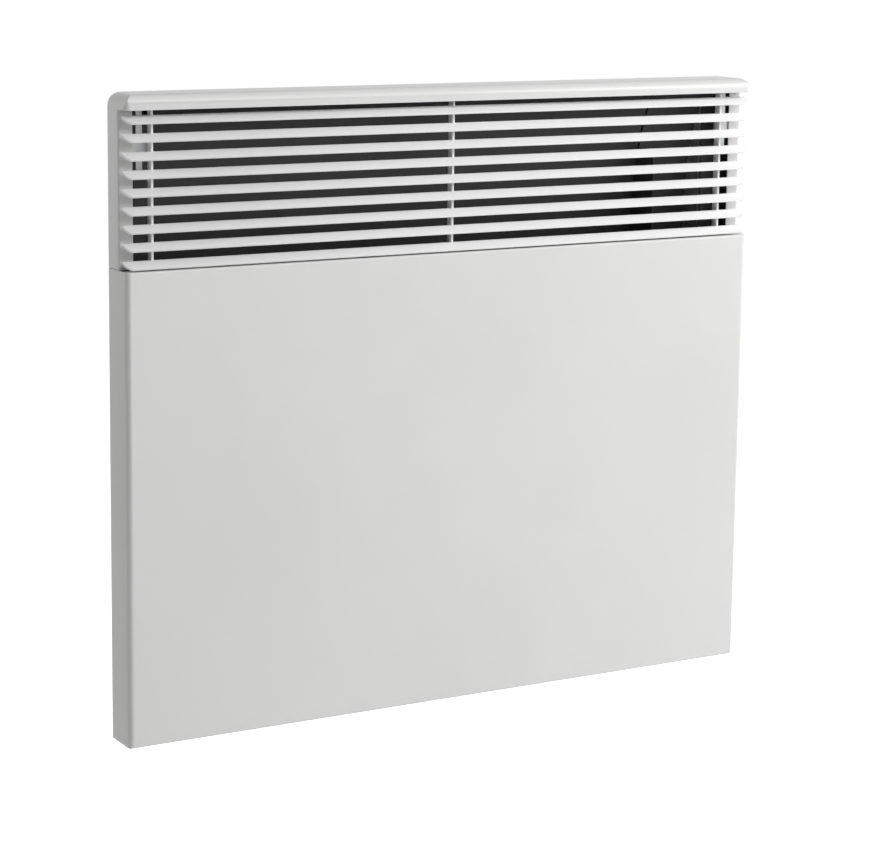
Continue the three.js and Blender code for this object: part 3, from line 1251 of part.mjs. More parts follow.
addPiece('front_panel', frontPanel(), FINISH.casing);
addPiece('top_housing', topHousing(), FINISH.casing);
addPiece('louvre_grille', louvreGrille(), FINISH.grille);
addPiece('grille_clip_left', grilleClip(-1), FINISH.zinc);
addPiece('grille_clip_right', grilleClip(1), FINISH.zinc);
addPiece('rear_tray', rearTray(), FINISH.zinc);
addPiece('inlet_grille', inletGrille(), FINISH.zinc);
addPiece('heat_shield', heatShield(), FINISH.aluminium);
addPiece('air_deflector', airDeflector(), FINISH.black);
addPiece('bay_cover', bayCover(), FINISH.black);
addPiece('end_baffle_left', endBaffle(-1), FINISH.black);
addPiece('end_baffle_right', endBaffle(1), FINISH.black);
addPiece('control_partition', controlPartition(), FINISH.black);
addPiece('partition_grommet_upper', partitionGrommet(GROMMET_PLACES[0]), FINISH.rubber);
addPiece('partition_grommet_lower', partitionGrommet(GROMMET_PLACES[1]), FINISH.rubber);

addPiece('heating_element', heatingElement(), FINISH.aluminium);
for (const [side, x, outward] of [['left', SUPPORT_LEFT, -1], ['right', SUPPORT_RIGHT, 1]]) {
  addPiece(`element_support_${side}`, elementSupport(x, outward), FINISH.zinc);
  addPiece(`element_bush_${side}`, elementBush(x, outward), FINISH.ceramic);
}
addPiece('overheat_cutout', overheatCutout(), FINISH.dark);

addPiece('control_module', controlModule(), FINISH.controls);
addPiece('thermostat_knob', thermostatKnob(), FINISH.knob);
addPiece('thermostat_shaft', thermostatShaft(), FINISH.brass);
addPiece('on_off_rocker', onOffRocker(), FINISH.knob);
addPiece('pilot_lens', pilotLens(), FINISH.lens);
addPiece('control_board', controlBoard(), FINISH.board);
addPiece('potentiometer', potentiometer(), FINISH.dark);
addPiece('pilot_lamp', pilotLamp(), FINISH.lens);
addPiece('switch_contacts', switchContacts(), FINISH.dark);
addPiece('relay', relay(), FINISH.dark);
addPiece('room_sensor', roomSensor(), FINISH.white);
addPiece('sensor_clip', sensorClip(), FINISH.dark);

addPiece('terminal_block', terminalBlock(), FINISH.ceramic);
TERMINAL_WAYS.forEach((x, way) => addPiece(`terminal_screw_${way + 1}`, terminalScrew(x), FINISH.brass));
addPiece('earth_screw', earthScrew(), FINISH.brass);
addPiece('cable_gland', cableGland(), FINISH.dark);
addPiece('gland_nut', glandNut(), FINISH.dark);

addPiece('supply_lead', supplyLead(), FINISH.brown);
addPiece('switched_lead', switchedLead(), FINISH.brown);
addPiece('element_lead', elementLead(), FINISH.white);
addPiece('return_lead', returnLead(), FINISH.blue);
addPiece('earth_lead', earthLead(), FINISH.green);
addPiece('sensor_lead', sensorLead(), FINISH.dark);

addPiece('wall_bracket', wallBracket(), FINISH.zinc);
for (const [side, inward] of [['left', 1], ['right', -1]]) {
  addPiece(`latch_pin_${side}`, latchPin(LATCH_SIDES[side]), FINISH.zinc);
  addPiece(`latch_${side}`, latch(LATCH_SIDES[side], inward), FINISH.dark);
  const x = inward * -CASING_SCREW_X;
  addPiece(`panel_screw_low_${side}`, casingScrew(x, PANEL_SCREW_LOW), FINISH.zinc);
  addPiece(`panel_screw_high_${side}`, casingScrew(x, PANEL_SCREW_HIGH), FINISH.zinc);
  addPiece(`housing_screw_${side}`, casingScrew(x, HOUSING_SCREW_HEIGHT), FINISH.zinc);
}

heater.position.z = -UPPER_BAR;

export default heater;
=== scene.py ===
# A wall panel convector heater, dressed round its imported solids.
# Metres, +Z up; the wall is the plane y = 0 and the heater faces -Y.

import json
import math

import bmesh
import bpy
from mathutils import Matrix, Vector


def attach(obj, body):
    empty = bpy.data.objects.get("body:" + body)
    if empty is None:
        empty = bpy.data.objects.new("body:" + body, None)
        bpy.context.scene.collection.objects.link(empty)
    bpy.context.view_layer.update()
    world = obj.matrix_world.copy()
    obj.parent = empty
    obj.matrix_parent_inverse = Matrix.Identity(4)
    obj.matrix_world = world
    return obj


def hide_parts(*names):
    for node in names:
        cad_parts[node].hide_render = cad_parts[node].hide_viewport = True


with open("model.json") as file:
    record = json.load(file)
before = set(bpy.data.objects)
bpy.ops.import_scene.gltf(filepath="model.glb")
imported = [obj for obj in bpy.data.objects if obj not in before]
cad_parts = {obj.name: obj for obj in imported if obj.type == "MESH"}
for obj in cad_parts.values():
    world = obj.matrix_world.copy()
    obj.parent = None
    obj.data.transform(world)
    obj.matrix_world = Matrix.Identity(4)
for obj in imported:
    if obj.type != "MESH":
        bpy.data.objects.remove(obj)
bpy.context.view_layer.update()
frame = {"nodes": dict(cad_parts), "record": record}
bpy.context.scene.view_settings.view_transform = "Standard"

MM = 0.001

# ---------------------------------------------------------------- sizes, as in the solids

FRONT = -80 * MM
BOTTOM = -366 * MM

SLAT_COUNT = 9
SLAT_PITCH = 11.95 * MM
SLAT_LOWEST = -40.83 * MM  # middle of the lowest blade, carried on to the front face
SLAT_RUN = 8 * MM
SLAT_SLOPE = 4.5 / 8
SLAT_THICKNESS = 1.5 * MM
SLAT_TIP = 0.46 * MM  # from the front plane to the middle of a blade's rounded front edge
SLAT_BOW = 0.15 * MM  # how far a blade's middle rises above a straight section
SLAT_HALF = 249.7 * MM
SLAT_CORNER = 6.5 * MM

RIB_COUNT = 3
RIB_SPREAD = 228.3 * MM
RIB_WIDTH = 1.8 * MM
RIB_DEPTH = (-72.75 * MM, -66.6 * MM)
RIB_HEIGHT = (-41.9 * MM, 72.2 * MM)

ELEMENT_AXIS = (-54 * MM, -248 * MM)  # y and z
ELEMENT_MIDDLE = -23.6 * MM
CORE_HALF = 170.3 * MM
FIN_COUNT = 36
FIN_PITCH = 9 * MM

KNOB_CENTRE = Vector((0, -64.5, -86)) * MM
KNOB_BASE = 243.8 * MM
KNOB_TOP = 252.4 * MM
KNOB_RIBS = 30
FACE = 250.6 * MM  # outer face of the control module
DIAL_MARKS = 11
DIAL_START = math.radians(-135)
DIAL_STEP = math.radians(27)
MARK_HEIGHT = 4.6 * MM  # the rocker's marks above and below its pivot
ROCKER_PIVOT = Vector((249, -64.5, -122)) * MM
ROCKER_TILT = math.radians(8)
ROCKER_CREST = 1.6 * MM

SCREW_X = 244 * MM
SCREW_FACE = -49.7 * MM
SCREW_HEIGHTS = {"panel_screw_low": -330 * MM, "panel_screw_high": -170 * MM, "housing_screw": 26 * MM}

# ---------------------------------------------------------------- camera

IMAGE_WIDTH, IMAGE_HEIGHT = 870, 850
SENSOR = 36.0
FOCAL_PIXELS = 2612.475
CENTRE_ROW = 350  # the picture's row that lies straight ahead of the camera
CAMERA_PLACE = Vector((-0.918097, -1.644264, 0.196688))
CAMERA_RIGHT = Vector((0.86749384, -0.49729692, 0.012256))
CAMERA_DOWN = Vector((-0.07286292, -0.15139827, -0.98578373))
CAMERA_AHEAD = Vector((0.49208275, 0.8542683, -0.16757158))


def make_camera():
    data = bpy.data.cameras.new("camera")
    data.sensor_width = SENSOR
    data.lens = FOCAL_PIXELS * SENSOR / IMAGE_WIDTH
    data.shift_y = (CENTRE_ROW - IMAGE_HEIGHT / 2) / IMAGE_WIDTH
    data.clip_start = 0.05
    data.clip_end = 100
    camera = bpy.data.objects.new("camera", data)
    bpy.context.scene.collection.objects.link(camera)
    turn = Matrix((CAMERA_RIGHT, -CAMERA_DOWN, -CAMERA_AHEAD)).transposed()
    camera.matrix_world = Matrix.Translation(CAMERA_PLACE) @ turn.to_4x4()
    bpy.context.scene.camera = camera


# ---------------------------------------------------------------- materials


class Finish:
    """A node material under construction: nodes are added by type and wired by name."""

    def __init__(self, name, roughness=0.5, metallic=0.0):
        self.material = bpy.data.materials.new(name)
        self.material.use_nodes = True
        self.tree = self.material.node_tree
        self.tree.nodes.clear()
        self.output = self.add("ShaderNodeOutputMaterial")
        self.shader = self.add("ShaderNodeBsdfPrincipled")
        self.shader.inputs["Roughness"].default_value = roughness
        self.shader.inputs["Metallic"].default_value = metallic
        self.wire(self.shader, "BSDF", self.output, "Surface")
        self.place = self.add("ShaderNodeTexCoord")

    def add(self, kind, **values):
        node = self.tree.nodes.new(kind)
        for key, value in values.items():
            setattr(node, key, value)
        return node

    def wire(self, source, output, target, name):
        self.tree.links.new(source.outputs[output], target.inputs[name])

    def noise(self, scale, detail=2.0, stretch=(1, 1, 1)):
        mapping = self.add("ShaderNodeMapping")
        mapping.inputs["Scale"].default_value = stretch
        self.wire(self.place, "Object", mapping, "Vector")
        noise = self.add("ShaderNodeTexNoise")
        noise.inputs["Scale"].default_value = scale
        noise.inputs["Detail"].default_value = detail
        self.wire(mapping, "Vector", noise, "Vector")
        return noise

    def cells(self, scale):
        voronoi = self.add("ShaderNodeTexVoronoi")
        voronoi.inputs["Scale"].default_value = scale
        self.wire(self.place, "Object", voronoi, "Vector")
        return voronoi

    def ramp(self, source, output, stops):
        ramp = self.add("ShaderNodeValToRGB")
        elements = ramp.color_ramp.elements
        while len(elements) < len(stops):
            elements.new(0.5)
        for element, (position, colour) in zip(elements, stops):
            element.position = position
            element.color = (*colour, 1)
        self.wire(source, output, ramp, "Fac")
        return ramp

    def colour(self, source, output, stops):
        self.wire(self.ramp(source, output, stops), "Color", self.shader, "Base Color")

    def spread(self, source, output, low, high, target="Roughness"):
        span = self.add("ShaderNodeMapRange")
        span.inputs["To Min"].default_value = low
        span.inputs["To Max"].default_value = high
        self.wire(source, output, span, "Value")
        self.wire(span, "Result", self.shader, target)

    def bump(self, source, output, depth, strength=1.0):
        bump = self.add("ShaderNodeBump")
        bump.inputs["Distance"].default_value = depth
        bump.inputs["Strength"].default_value = strength
        self.wire(source, output, bump, "Height")
        self.wire(bump, "Normal", self.shader, "Normal")


def grey(value, warmth=0.0):
    return (value * (1 + warmth), value, value * (1 - warmth))


def powder_coat(name, low, high, warmth, roughness):
    """Sprayed and baked paint: a fine orange peel and a barely uneven tone."""
    finish = Finish(name)
    broad = finish.noise(9, 3)
    finish.colour(broad, "Fac", [(0.3, grey(low, warmth)), (0.7, grey(high, warmth))])
    fine = finish.noise(750, 2)
    finish.spread(fine, "Fac", roughness - 0.05, roughness + 0.06)
    finish.bump(fine, "Fac", 0.00003, 0.35)
    return finish.material


def moulded(name, colour, roughness, grain=1400, depth=0.00002):
    finish = Finish(name)
    broad = finish.noise(40, 3)
    darker = tuple(c * 0.93 for c in colour)
    finish.colour(broad, "Fac", [(0.25, darker), (0.75, colour)])
    fine = finish.noise(grain, 3)
    finish.spread(fine, "Fac", roughness - 0.06, roughness + 0.06)
    finish.bump(fine, "Fac", depth, 0.5)
    return finish.material


def galvanised(name, low, high):
    """Zinc-coated sheet: crystals a few millimetres wide, each with its own tone and sheen."""
    finish = Finish(name, metallic=0.85)
    crystals = finish.cells(240)
    finish.colour(crystals, "Color", [(0.2, grey(low, -0.02)), (0.8, grey(high, -0.01))])
    finish.spread(crystals, "Color", 0.36, 0.58)
    finish.bump(finish.noise(500, 2), "Fac", 0.00002, 0.3)
    return finish.material


def brushed(name, colour, roughness, stretch=(4, 400, 400)):
    finish = Finish(name, metallic=1.0)
    lines = finish.noise(6, 4, stretch)
    darker = tuple(c * 0.82 for c in colour)
    finish.colour(lines, "Fac", [(0.3, darker), (0.7, colour)])
    finish.spread(lines, "Fac", roughness - 0.08, roughness + 0.12)
    finish.bump(lines, "Fac", 0.00001, 0.4)
    return finish.material


def circuit_board(name):
    """Lacquered laminate with the copper tracks showing through."""
    finish = Finish(name, roughness=0.35)
    tracks = finish.add("ShaderNodeTexBrick")
    tracks.inputs["Scale"].default_value = 160
    tracks.inputs["Mortar Size"].default_value = 0.03
    tracks.inputs["Color1"].default_value = (0.028, 0.11, 0.05, 1)
    tracks.inputs["Color2"].default_value = (0.03, 0.13, 0.06, 1)
    tracks.inputs["Mortar"].default_value = (0.08, 0.26, 0.12, 1)
    turned = finish.add("ShaderNodeMapping")
    turned.inputs["Rotation"].default_value = (0, math.pi / 2, 0)
    finish.wire(finish.place, "Object", turned, "Vector")
    finish.wire(turned, "Vector", tracks, "Vector")
    finish.wire(tracks, "Color", finish.shader, "Base Color")
    finish.bump(tracks, "Fac", 0.00003, 0.6)
    return finish.material


def insulation(name, colour, stripe=None):
    """Lead insulation, with a slanting stripe where the lead has two colours."""
    finish = Finish(name, roughness=0.5)
    bands = finish.add("ShaderNodeTexWave", wave_type="BANDS", bands_direction="DIAGONAL")
    bands.inputs["Scale"].default_value = 90
    bands.inputs["Distortion"].default_value = 1.0
    finish.wire(finish.place, "Object", bands, "Vector")
    second = stripe or tuple(c * 0.85 for c in colour)
    finish.colour(bands, "Fac", [(0.45, colour), (0.55, second)])
    finish.bump(finish.noise(900, 2), "Fac", 0.00003, 0.5)
    return finish.material


def tinted_lens(name, colour):
    finish = Finish(name, roughness=0.12)
    finish.shader.inputs["Transmission Weight"].default_value = 0.35
    finish.colour(finish.noise(120, 2), "Fac", [(0.3, colour), (0.7, tuple(c * 0.85 for c in colour))])
    finish.bump(finish.cells(1500), "Distance", 0.00005, 0.4)
    return finish.material


FINISHES = {
    "casing_paint": powder_coat("casing_paint", 0.65, 0.675, 0.008, 0.36),
    "grille_plastic": powder_coat("grille_plastic", 0.86, 0.88, 0.004, 0.36),
    "zinc_sheet": galvanised("zinc_sheet", 0.42, 0.50),
    # black_sheet: a matte black heat-resistant coat, made near-black so that the inner sheets also paint the
    # shade seen through the louvre's gaps: painted shade
    "black_sheet": moulded("black_sheet", (0.022, 0.022, 0.023), 0.62, 700, 0.00003),
    "aluminium_sheet": brushed("aluminium_sheet", (0.62, 0.63, 0.64), 0.34),
    "brass_part": brushed("brass_part", (0.62, 0.43, 0.16), 0.32, (300, 300, 300)),
    "ceramic": moulded("ceramic", (0.78, 0.73, 0.62), 0.6, 900),
    "controls_plastic": moulded("controls_plastic", (0.70, 0.70, 0.69), 0.46),
    "knob_plastic": moulded("knob_plastic", (0.26, 0.27, 0.28), 0.45),
    "dark_plastic": moulded("dark_plastic", (0.030, 0.032, 0.036), 0.5),
    "circuit_board": circuit_board("circuit_board"),
    "lens_plastic": tinted_lens("lens_plastic", (0.70, 0.10, 0.03)),
    "grommet_rubber": moulded("grommet_rubber", (0.030, 0.032, 0.034), 0.75, 600),
    "lead_brown": insulation("lead_brown", (0.15, 0.06, 0.025)),
    "lead_blue": insulation("lead_blue", (0.03, 0.10, 0.33)),
    "lead_white": insulation("lead_white", (0.68, 0.66, 0.60)),
    "lead_green": insulation("lead_green", (0.10, 0.30, 0.04), (0.72, 0.58, 0.05)),
}

SLOTS = {row["node"]: row["material_slot"] for row in frame["record"]["subparts"]}
BODY_OF = {
    node: body
    for body, nodes in frame["record"]["behaviour"]["bodies"].items()
    for node in nodes
}

# ---------------------------------------------------------------- making pieces


def add_object(name, mesh):
    piece = bpy.data.objects.new(name, mesh)
    bpy.context.scene.collection.objects.link(piece)
    return piece


def applied(piece):
    """Its modifiers' result as a plain mesh, with the modifiers gone."""
    graph = bpy.context.evaluated_depsgraph_get()
    mesh = bpy.data.meshes.new_from_object(piece.evaluated_get(graph))
    piece.modifiers.clear()
    piece.data = mesh
    return piece


SMOOTH_ANGLE = math.radians(32)
FLAT_ANGLE = math.radians(0.3)  # faces that meet at less than this become one
WELD_DISTANCE = 2e-6


def rounded(piece, width, segments=2):
    """Adds a small rounding to every sharp edge."""
    bevel = piece.modifiers.new("edges", "BEVEL")
    bevel.width = width
    bevel.segments = segments
    bevel.limit_method = "ANGLE"
    bevel.angle_limit = SMOOTH_ANGLE
    bevel.harden_normals = True
    return piece


def smooth(mesh, angle=SMOOTH_ANGLE):
    mesh.shade_smooth()
    mesh.set_sharp_from_angle(angle=angle)
    return mesh


def belongs(piece, body, slot, *nodes):
    """Gives a finished piece its finish and body, and the nodes it is shown for."""
    piece.data.materials.clear()
    piece.data.materials.append(FINISHES[slot])
    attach(piece, body)
    if nodes:
        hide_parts(*nodes)
    return piece


def stand_for(piece, *nodes):
    return belongs(piece, BODY_OF[nodes[0]], SLOTS[nodes[0]], *nodes)


def eased(node, edge=0.0, angle=SMOOTH_ANGLE):
    """A welded copy of a solid, shaded round where it is round, with its edges eased."""
    mesh = frame["nodes"][node].data.copy()
    work = bmesh.new()
    work.from_mesh(mesh)
    bmesh.ops.remove_doubles(work, verts=work.verts, dist=WELD_DISTANCE)
    bmesh.ops.dissolve_limit(work, angle_limit=FLAT_ANGLE, verts=work.verts, edges=work.edges)
    work.to_mesh(mesh)
    work.free()
    piece = add_object(node + "_shown", smooth(mesh, angle))
    if edge:
        rounded(piece, edge)
    return stand_for(applied(piece), node)


def meshed(name, work):
    """Closes a mesh under construction, with its faces pointing outwards."""
    bmesh.ops.recalc_face_normals(work, faces=work.faces)
    mesh = bpy.data.meshes.new(name)
    work.to_mesh(mesh)
    work.free()
    return smooth(mesh)


# Which of x, y and z a turned shape's axis, its first and its second cross direction become.
TURNING = {"x": (0, 1, 2), "y": (1, 2, 0), "z": (2, 0, 1)}


def turned(name, axis, profile, centre=(0, 0, 0), sides=40):
    """A shape turned about an axis; the profile gives (radius, distance along the axis)."""
    order = TURNING[axis]
    work = bmesh.new()
    rings = []
    for radius, along in profile:
        ring = []
        for step in range(sides if radius else 1):
            angle = math.tau * step / sides
            place = list(centre)
            for direction, amount in zip(
                    order, (along, radius * math.cos(angle), radius * math.sin(angle))):
                place[direction] += amount
            ring.append(work.verts.new(place))
        rings.append(ring)
    for near, far in zip(rings, rings[1:]):
        for step in range(sides):
            corners = [near[step % len(near)], near[(step + 1) % len(near)],
                       far[(step + 1) % len(far)], far[step % len(far)]]
            corners = [v for i, v in enumerate(corners) if v not in corners[:i]]
            if len(corners) > 2:
                work.faces.new(corners)
    return meshed(name, work)


def block(name, spans, edge, segments=2):
    """A bar with eased edges between the given spans along x, y and z."""
    work = bmesh.new()
    bmesh.ops.create_cube(work, size=1)
    for vert in work.verts:
        vert.co = [low + (c + 0.5) * (high - low) for c, (low, high) in zip(vert.co, spans)]
    bmesh.ops.bevel(
        work, geom=work.edges[:], offset=edge, segments=segments, profile=0.5, affect="EDGES")
    return meshed(name, work)


def about(middle, size):
    return (middle - size / 2, middle + size / 2)


def cut(mesh, cutter):
    """The mesh with the cutter's shape taken out of it."""
    piece = add_object("cut_piece", mesh)
    tool = add_object("cut_tool", cutter)
    saw = piece.modifiers.new("cut", "BOOLEAN")
    saw.object = tool
    result = applied(piece).data
    bpy.data.objects.remove(piece)
    bpy.data.objects.remove(tool)
    return smooth(result)


# ---------------------------------------------------------------- repeating pieces


class Pattern:
    """A geometry node tree with named sizes, which ends in plain faces of one finish."""

    def __init__(self, name, sizes):
        self.tree = bpy.data.node_groups.new(name, "GeometryNodeTree")
        face = self.tree.interface
        face.new_socket("Geometry", in_out="OUTPUT", socket_type="NodeSocketGeometry")
        face.new_socket("Geometry", in_out="INPUT", socket_type="NodeSocketGeometry")
        self.keys = {
            label: face.new_socket(label, in_out="INPUT", socket_type="NodeSocket" + kind).identifier
            for label, kind in {**sizes, "Finish": "Material"}.items()
        }
        self.given = self.tree.nodes.new("NodeGroupInput").outputs
        self.result = self.tree.nodes.new("NodeGroupOutput").inputs["Geometry"]

    def node(self, kind, inputs, **settings):
        node = self.tree.nodes.new(kind)
        for key, value in settings.items():
            setattr(node, key, value)
        for key, value in inputs.items():
            if isinstance(value, bpy.types.Node):
                value = value.outputs[0]
            if isinstance(value, bpy.types.NodeSocket):
                self.tree.links.new(value, node.inputs[key])
            else:
                node.inputs[key].default_value = value
        return node

    def sum(self, operation, *values):
        return self.node("ShaderNodeMath", dict(enumerate(values)), operation=operation)

    def end_with(self, copies):
        faces = self.node("GeometryNodeRealizeInstances", {"Geometry": copies})
        finished = self.node(
            "GeometryNodeSetMaterial", {"Geometry": faces, "Material": self.given["Finish"]})
        self.tree.links.new(finished.outputs[0], self.result)

    def make(self, name, mesh, slot, sizes):
        piece = add_object(name, mesh)
        pattern = piece.modifiers.new("pattern", "NODES")
        pattern.node_group = self.tree
        for label, value in {**sizes, "Finish": FINISHES[slot]}.items():
            pattern[self.keys[label]] = value
        return piece


def row_pattern():
    """Copies a piece in a straight row, or round an axis where each copy is turned further."""
    row = Pattern("row_of_pieces", {
        "Count": "Int", "Start": "Vector", "Step": "Vector", "First turn": "Vector", "Turn": "Vector"})
    given = row.given
    places = row.node("GeometryNodeMeshLine", {
        "Count": given["Count"], "Start Location": given["Start"], "Offset": given["Step"]})
    number = row.node("GeometryNodeInputIndex", {})
    turn = row.node("ShaderNodeVectorMath", {0: given["Turn"], "Scale": number}, operation="SCALE")
    turn = row.node("ShaderNodeVectorMath", {0: turn, 1: given["First turn"]}, operation="ADD")
    row.end_with(row.node("GeometryNodeInstanceOnPoints", {
        "Points": places, "Instance": given["Geometry"], "Rotation": turn}))
    return row


def louvre_pattern():
    """Sloping blades one above the other, their front corners rounded in plan."""
    louvre = Pattern("louvre_slats", {
        "Slats": "Int", "Pitch": "Float", "Front": "Float", "Lowest": "Float", "Tip": "Float",
        "Run": "Float", "Slope": "Float", "Bow": "Float", "Half width": "Float", "Corner": "Float"})
    given, sum_of = louvre.given, louvre.sum
    sheet = louvre.node("GeometryNodeMeshGrid", {
        "Size X": 1.0, "Size Y": 1.0, "Vertices X": 2, "Vertices Y": 16})
    place = louvre.node("ShaderNodeSeparateXYZ", {0: louvre.node("GeometryNodeInputPosition", {})})
    part = sum_of("ADD", place.outputs["Y"], 0.5)
    part = sum_of("MULTIPLY", part, part)  # closer rows where the corner turns
    depth = sum_of(
        "MULTIPLY_ADD", part, sum_of("SUBTRACT", given["Run"], given["Tip"]), given["Tip"])
    short = sum_of("MAXIMUM", sum_of("SUBTRACT", given["Corner"], depth), 0.0)
    arc = sum_of("SQRT", sum_of("SUBTRACT", sum_of("MULTIPLY", given["Corner"], given["Corner"]),
                                sum_of("MULTIPLY", short, short)))
    reach = sum_of("ADD", sum_of("SUBTRACT", given["Half width"], given["Corner"]), arc)
    hump = sum_of("MULTIPLY", sum_of("MULTIPLY", part, 4.0), sum_of("SUBTRACT", 1.0, part))
    rise = sum_of("MULTIPLY_ADD", depth, given["Slope"], given["Lowest"])
    corner = louvre.node("ShaderNodeCombineXYZ", {
        "X": sum_of("MULTIPLY", sum_of("MULTIPLY", place.outputs["X"], 2.0), reach),
        "Y": sum_of("ADD", given["Front"], depth),
        "Z": sum_of("MULTIPLY_ADD", hump, given["Bow"], rise)})
    blade = louvre.node("GeometryNodeSetPosition", {"Geometry": sheet, "Position": corner})
    step = louvre.node("ShaderNodeCombineXYZ", {"Z": given["Pitch"]})
    places = louvre.node("GeometryNodeMeshLine", {"Count": given["Slats"], "Offset": step})
    louvre.end_with(louvre.node("GeometryNodeInstanceOnPoints", {
        "Points": places, "Instance": blade}))
    return louvre


ROW = row_pattern()
LOUVRE = louvre_pattern()


def row_of(name, mesh, slot, count, start, step=(0, 0, 0), turn=0.0, first_turn=0.0):
    """A row along the step, or a ring about an axis along x where a turn is given."""
    piece = ROW.make(name, mesh, slot, {
        "Count": count, "Start": tuple(start), "Step": tuple(step),
        "First turn": (first_turn, 0, 0), "Turn": (turn, 0, 0)})
    smooth(applied(piece).data)
    return piece


# ---------------------------------------------------------------- louvre


def make_slats():
    piece = LOUVRE.make("louvre_slats", bpy.data.meshes.new("slats"), SLOTS["louvre_grille"], {
        "Slats": SLAT_COUNT, "Pitch": SLAT_PITCH, "Front": FRONT, "Lowest": SLAT_LOWEST,
        "Tip": SLAT_TIP, "Run": SLAT_RUN, "Slope": SLAT_SLOPE, "Bow": SLAT_BOW,
        "Half width": SLAT_HALF, "Corner": SLAT_CORNER})
    wall = piece.modifiers.new("thickness", "SOLIDIFY")
    wall.thickness = SLAT_THICKNESS
    wall.offset = 0
    rounded(piece, SLAT_THICKNESS * 0.45, 3)
    smooth(applied(piece).data)
    stand_for(piece, "louvre_grille")


def make_ribs():
    rib = block("rib", (about(0, RIB_WIDTH), RIB_DEPTH, RIB_HEIGHT), 0.4 * MM)
    piece = row_of("louvre_ribs", rib, SLOTS["louvre_grille"], RIB_COUNT, (-RIB_SPREAD, 0, 0),
                   (RIB_SPREAD, 0, 0))
    stand_for(piece, "louvre_grille")


# ---------------------------------------------------------------- heating element


def make_element():
    y, z = ELEMENT_AXIS
    ends = ELEMENT_MIDDLE - CORE_HALF, ELEMENT_MIDDLE + CORE_HALF
    steps = [(0, 16.9), (1.2, 16.9), (1.6, 16.5), (1.6, 9.9), (3.6, 9.9), (4, 9.5), (4, 0.4), (6.4, 0),
             (7, -0.6)]
    profile = [(r * MM, ends[0] - d * MM) for r, d in steps]
    profile += [(r * MM, ends[1] + d * MM) for r, d in reversed(steps)]
    core = turned("element_core", "x", profile, (0, y, z))
    stand_for(add_object("element_core", core), "heating_element")

    plate = block("fin", (about(0, 0.8 * MM), about(0, 34 * MM), about(0, 56 * MM)), 0.25 * MM, 1)
    collar = turned("collar", "x", [
        (7.1 * MM, -1.6 * MM), (8.4 * MM, -1.6 * MM), (9.2 * MM, -0.4 * MM),
        (9.2 * MM, 0.4 * MM), (8.4 * MM, 1.6 * MM), (7.1 * MM, 1.6 * MM), (7.1 * MM, -1.6 * MM)], sides=20)
    fin = bmesh.new()
    fin.from_mesh(plate)
    fin.from_mesh(collar)
    start = (ELEMENT_MIDDLE - (FIN_COUNT - 1) * FIN_PITCH / 2, y, z)
    fins = row_of("element_fins", meshed("fin_and_collar", fin), SLOTS["heating_element"],
                  FIN_COUNT, start, (FIN_PITCH, 0, 0))
    stand_for(fins, "heating_element")


# ---------------------------------------------------------------- controls


def make_knob():
    base, top = KNOB_BASE, KNOB_TOP
    grip = turned("knob_body", "x", [
        (0, base + 0.1 * MM), (6.9 * MM, base + 0.1 * MM), (7.4 * MM, base + 0.6 * MM),
        (7.4 * MM, top - 1.3 * MM), (7.25 * MM, top - 0.7 * MM), (6.8 * MM, top - 0.2 * MM),
        (6.2 * MM, top), (5.4 * MM, top - 0.25 * MM), (3 * MM, top - 0.45 * MM), (0, top - 0.5 * MM)],
        KNOB_CENTRE, 64)
    stand_for(add_object("knob_grip", grip), "thermostat_knob")
    rib = block("knob_rib", ((base + 0.8 * MM, top - 1.2 * MM), (7.1 * MM, 7.95 * MM), about(0, 0.8 * MM)),
                0.22 * MM)
    ribs = row_of("knob_ribs", rib, SLOTS["thermostat_knob"], KNOB_RIBS, KNOB_CENTRE,
                  turn=math.tau / KNOB_RIBS)
    stand_for(ribs, "thermostat_knob")
    low, high = KNOB_CENTRE.z + 1.2 * MM, KNOB_CENTRE.z + 6.9 * MM
    pointer = block("knob_pointer", (
        (top - 0.8 * MM, top + 0.55 * MM), about(KNOB_CENTRE.y, 1.3 * MM), (low, high)), 0.3 * MM, 3)
    belongs(add_object("knob_pointer", pointer), "knob", "grille_plastic")


def make_dial_marks():
    """Eleven plain strokes round the knob, over three quarters of a turn."""
    stroke = block("dial_stroke", (
        (FACE - 0.1 * MM, FACE + 0.06 * MM), about(0, 0.32 * MM), (9.1 * MM, 10.2 * MM)), 0.03 * MM, 1)
    marks = row_of("dial_marks", stroke, "dark_plastic", DIAL_MARKS, KNOB_CENTRE,
                   turn=DIAL_STEP, first_turn=DIAL_START)
    belongs(marks, "heater", "dark_plastic")


def make_rocker_marks():
    """A bar on the rocker's upper half and a ring on its lower half."""
    slope = math.tan(ROCKER_TILT)
    high = ROCKER_CREST + MARK_HEIGHT * slope
    marks = bmesh.new()
    bar = block("bar", ((-0.1 * MM, 0.05 * MM), about(0, 0.5 * MM), about(0, 3 * MM)), 0.02 * MM, 1)
    ring = turned("ring", "x", [
        (1.1 * MM, -0.1 * MM), (1.1 * MM, 0.05 * MM), (1.5 * MM, 0.05 * MM), (1.5 * MM, -0.1 * MM),
        (1.1 * MM, -0.1 * MM)], sides=32)
    place = Matrix.Translation(ROCKER_PIVOT) @ Matrix.Rotation(ROCKER_TILT, 4, "Y")
    for mesh, side in ((bar, 1), (ring, -1)):
        lean = Matrix.Rotation(-side * ROCKER_TILT, 4, "Y")
        lie = Matrix.Translation((high, 0, side * MARK_HEIGHT)) @ lean
        mesh.transform(place @ lie)
        marks.from_mesh(mesh)
    belongs(add_object("rocker_marks", meshed("rocker_marks", marks)), "rocker", "grille_plastic")


# ---------------------------------------------------------------- screws


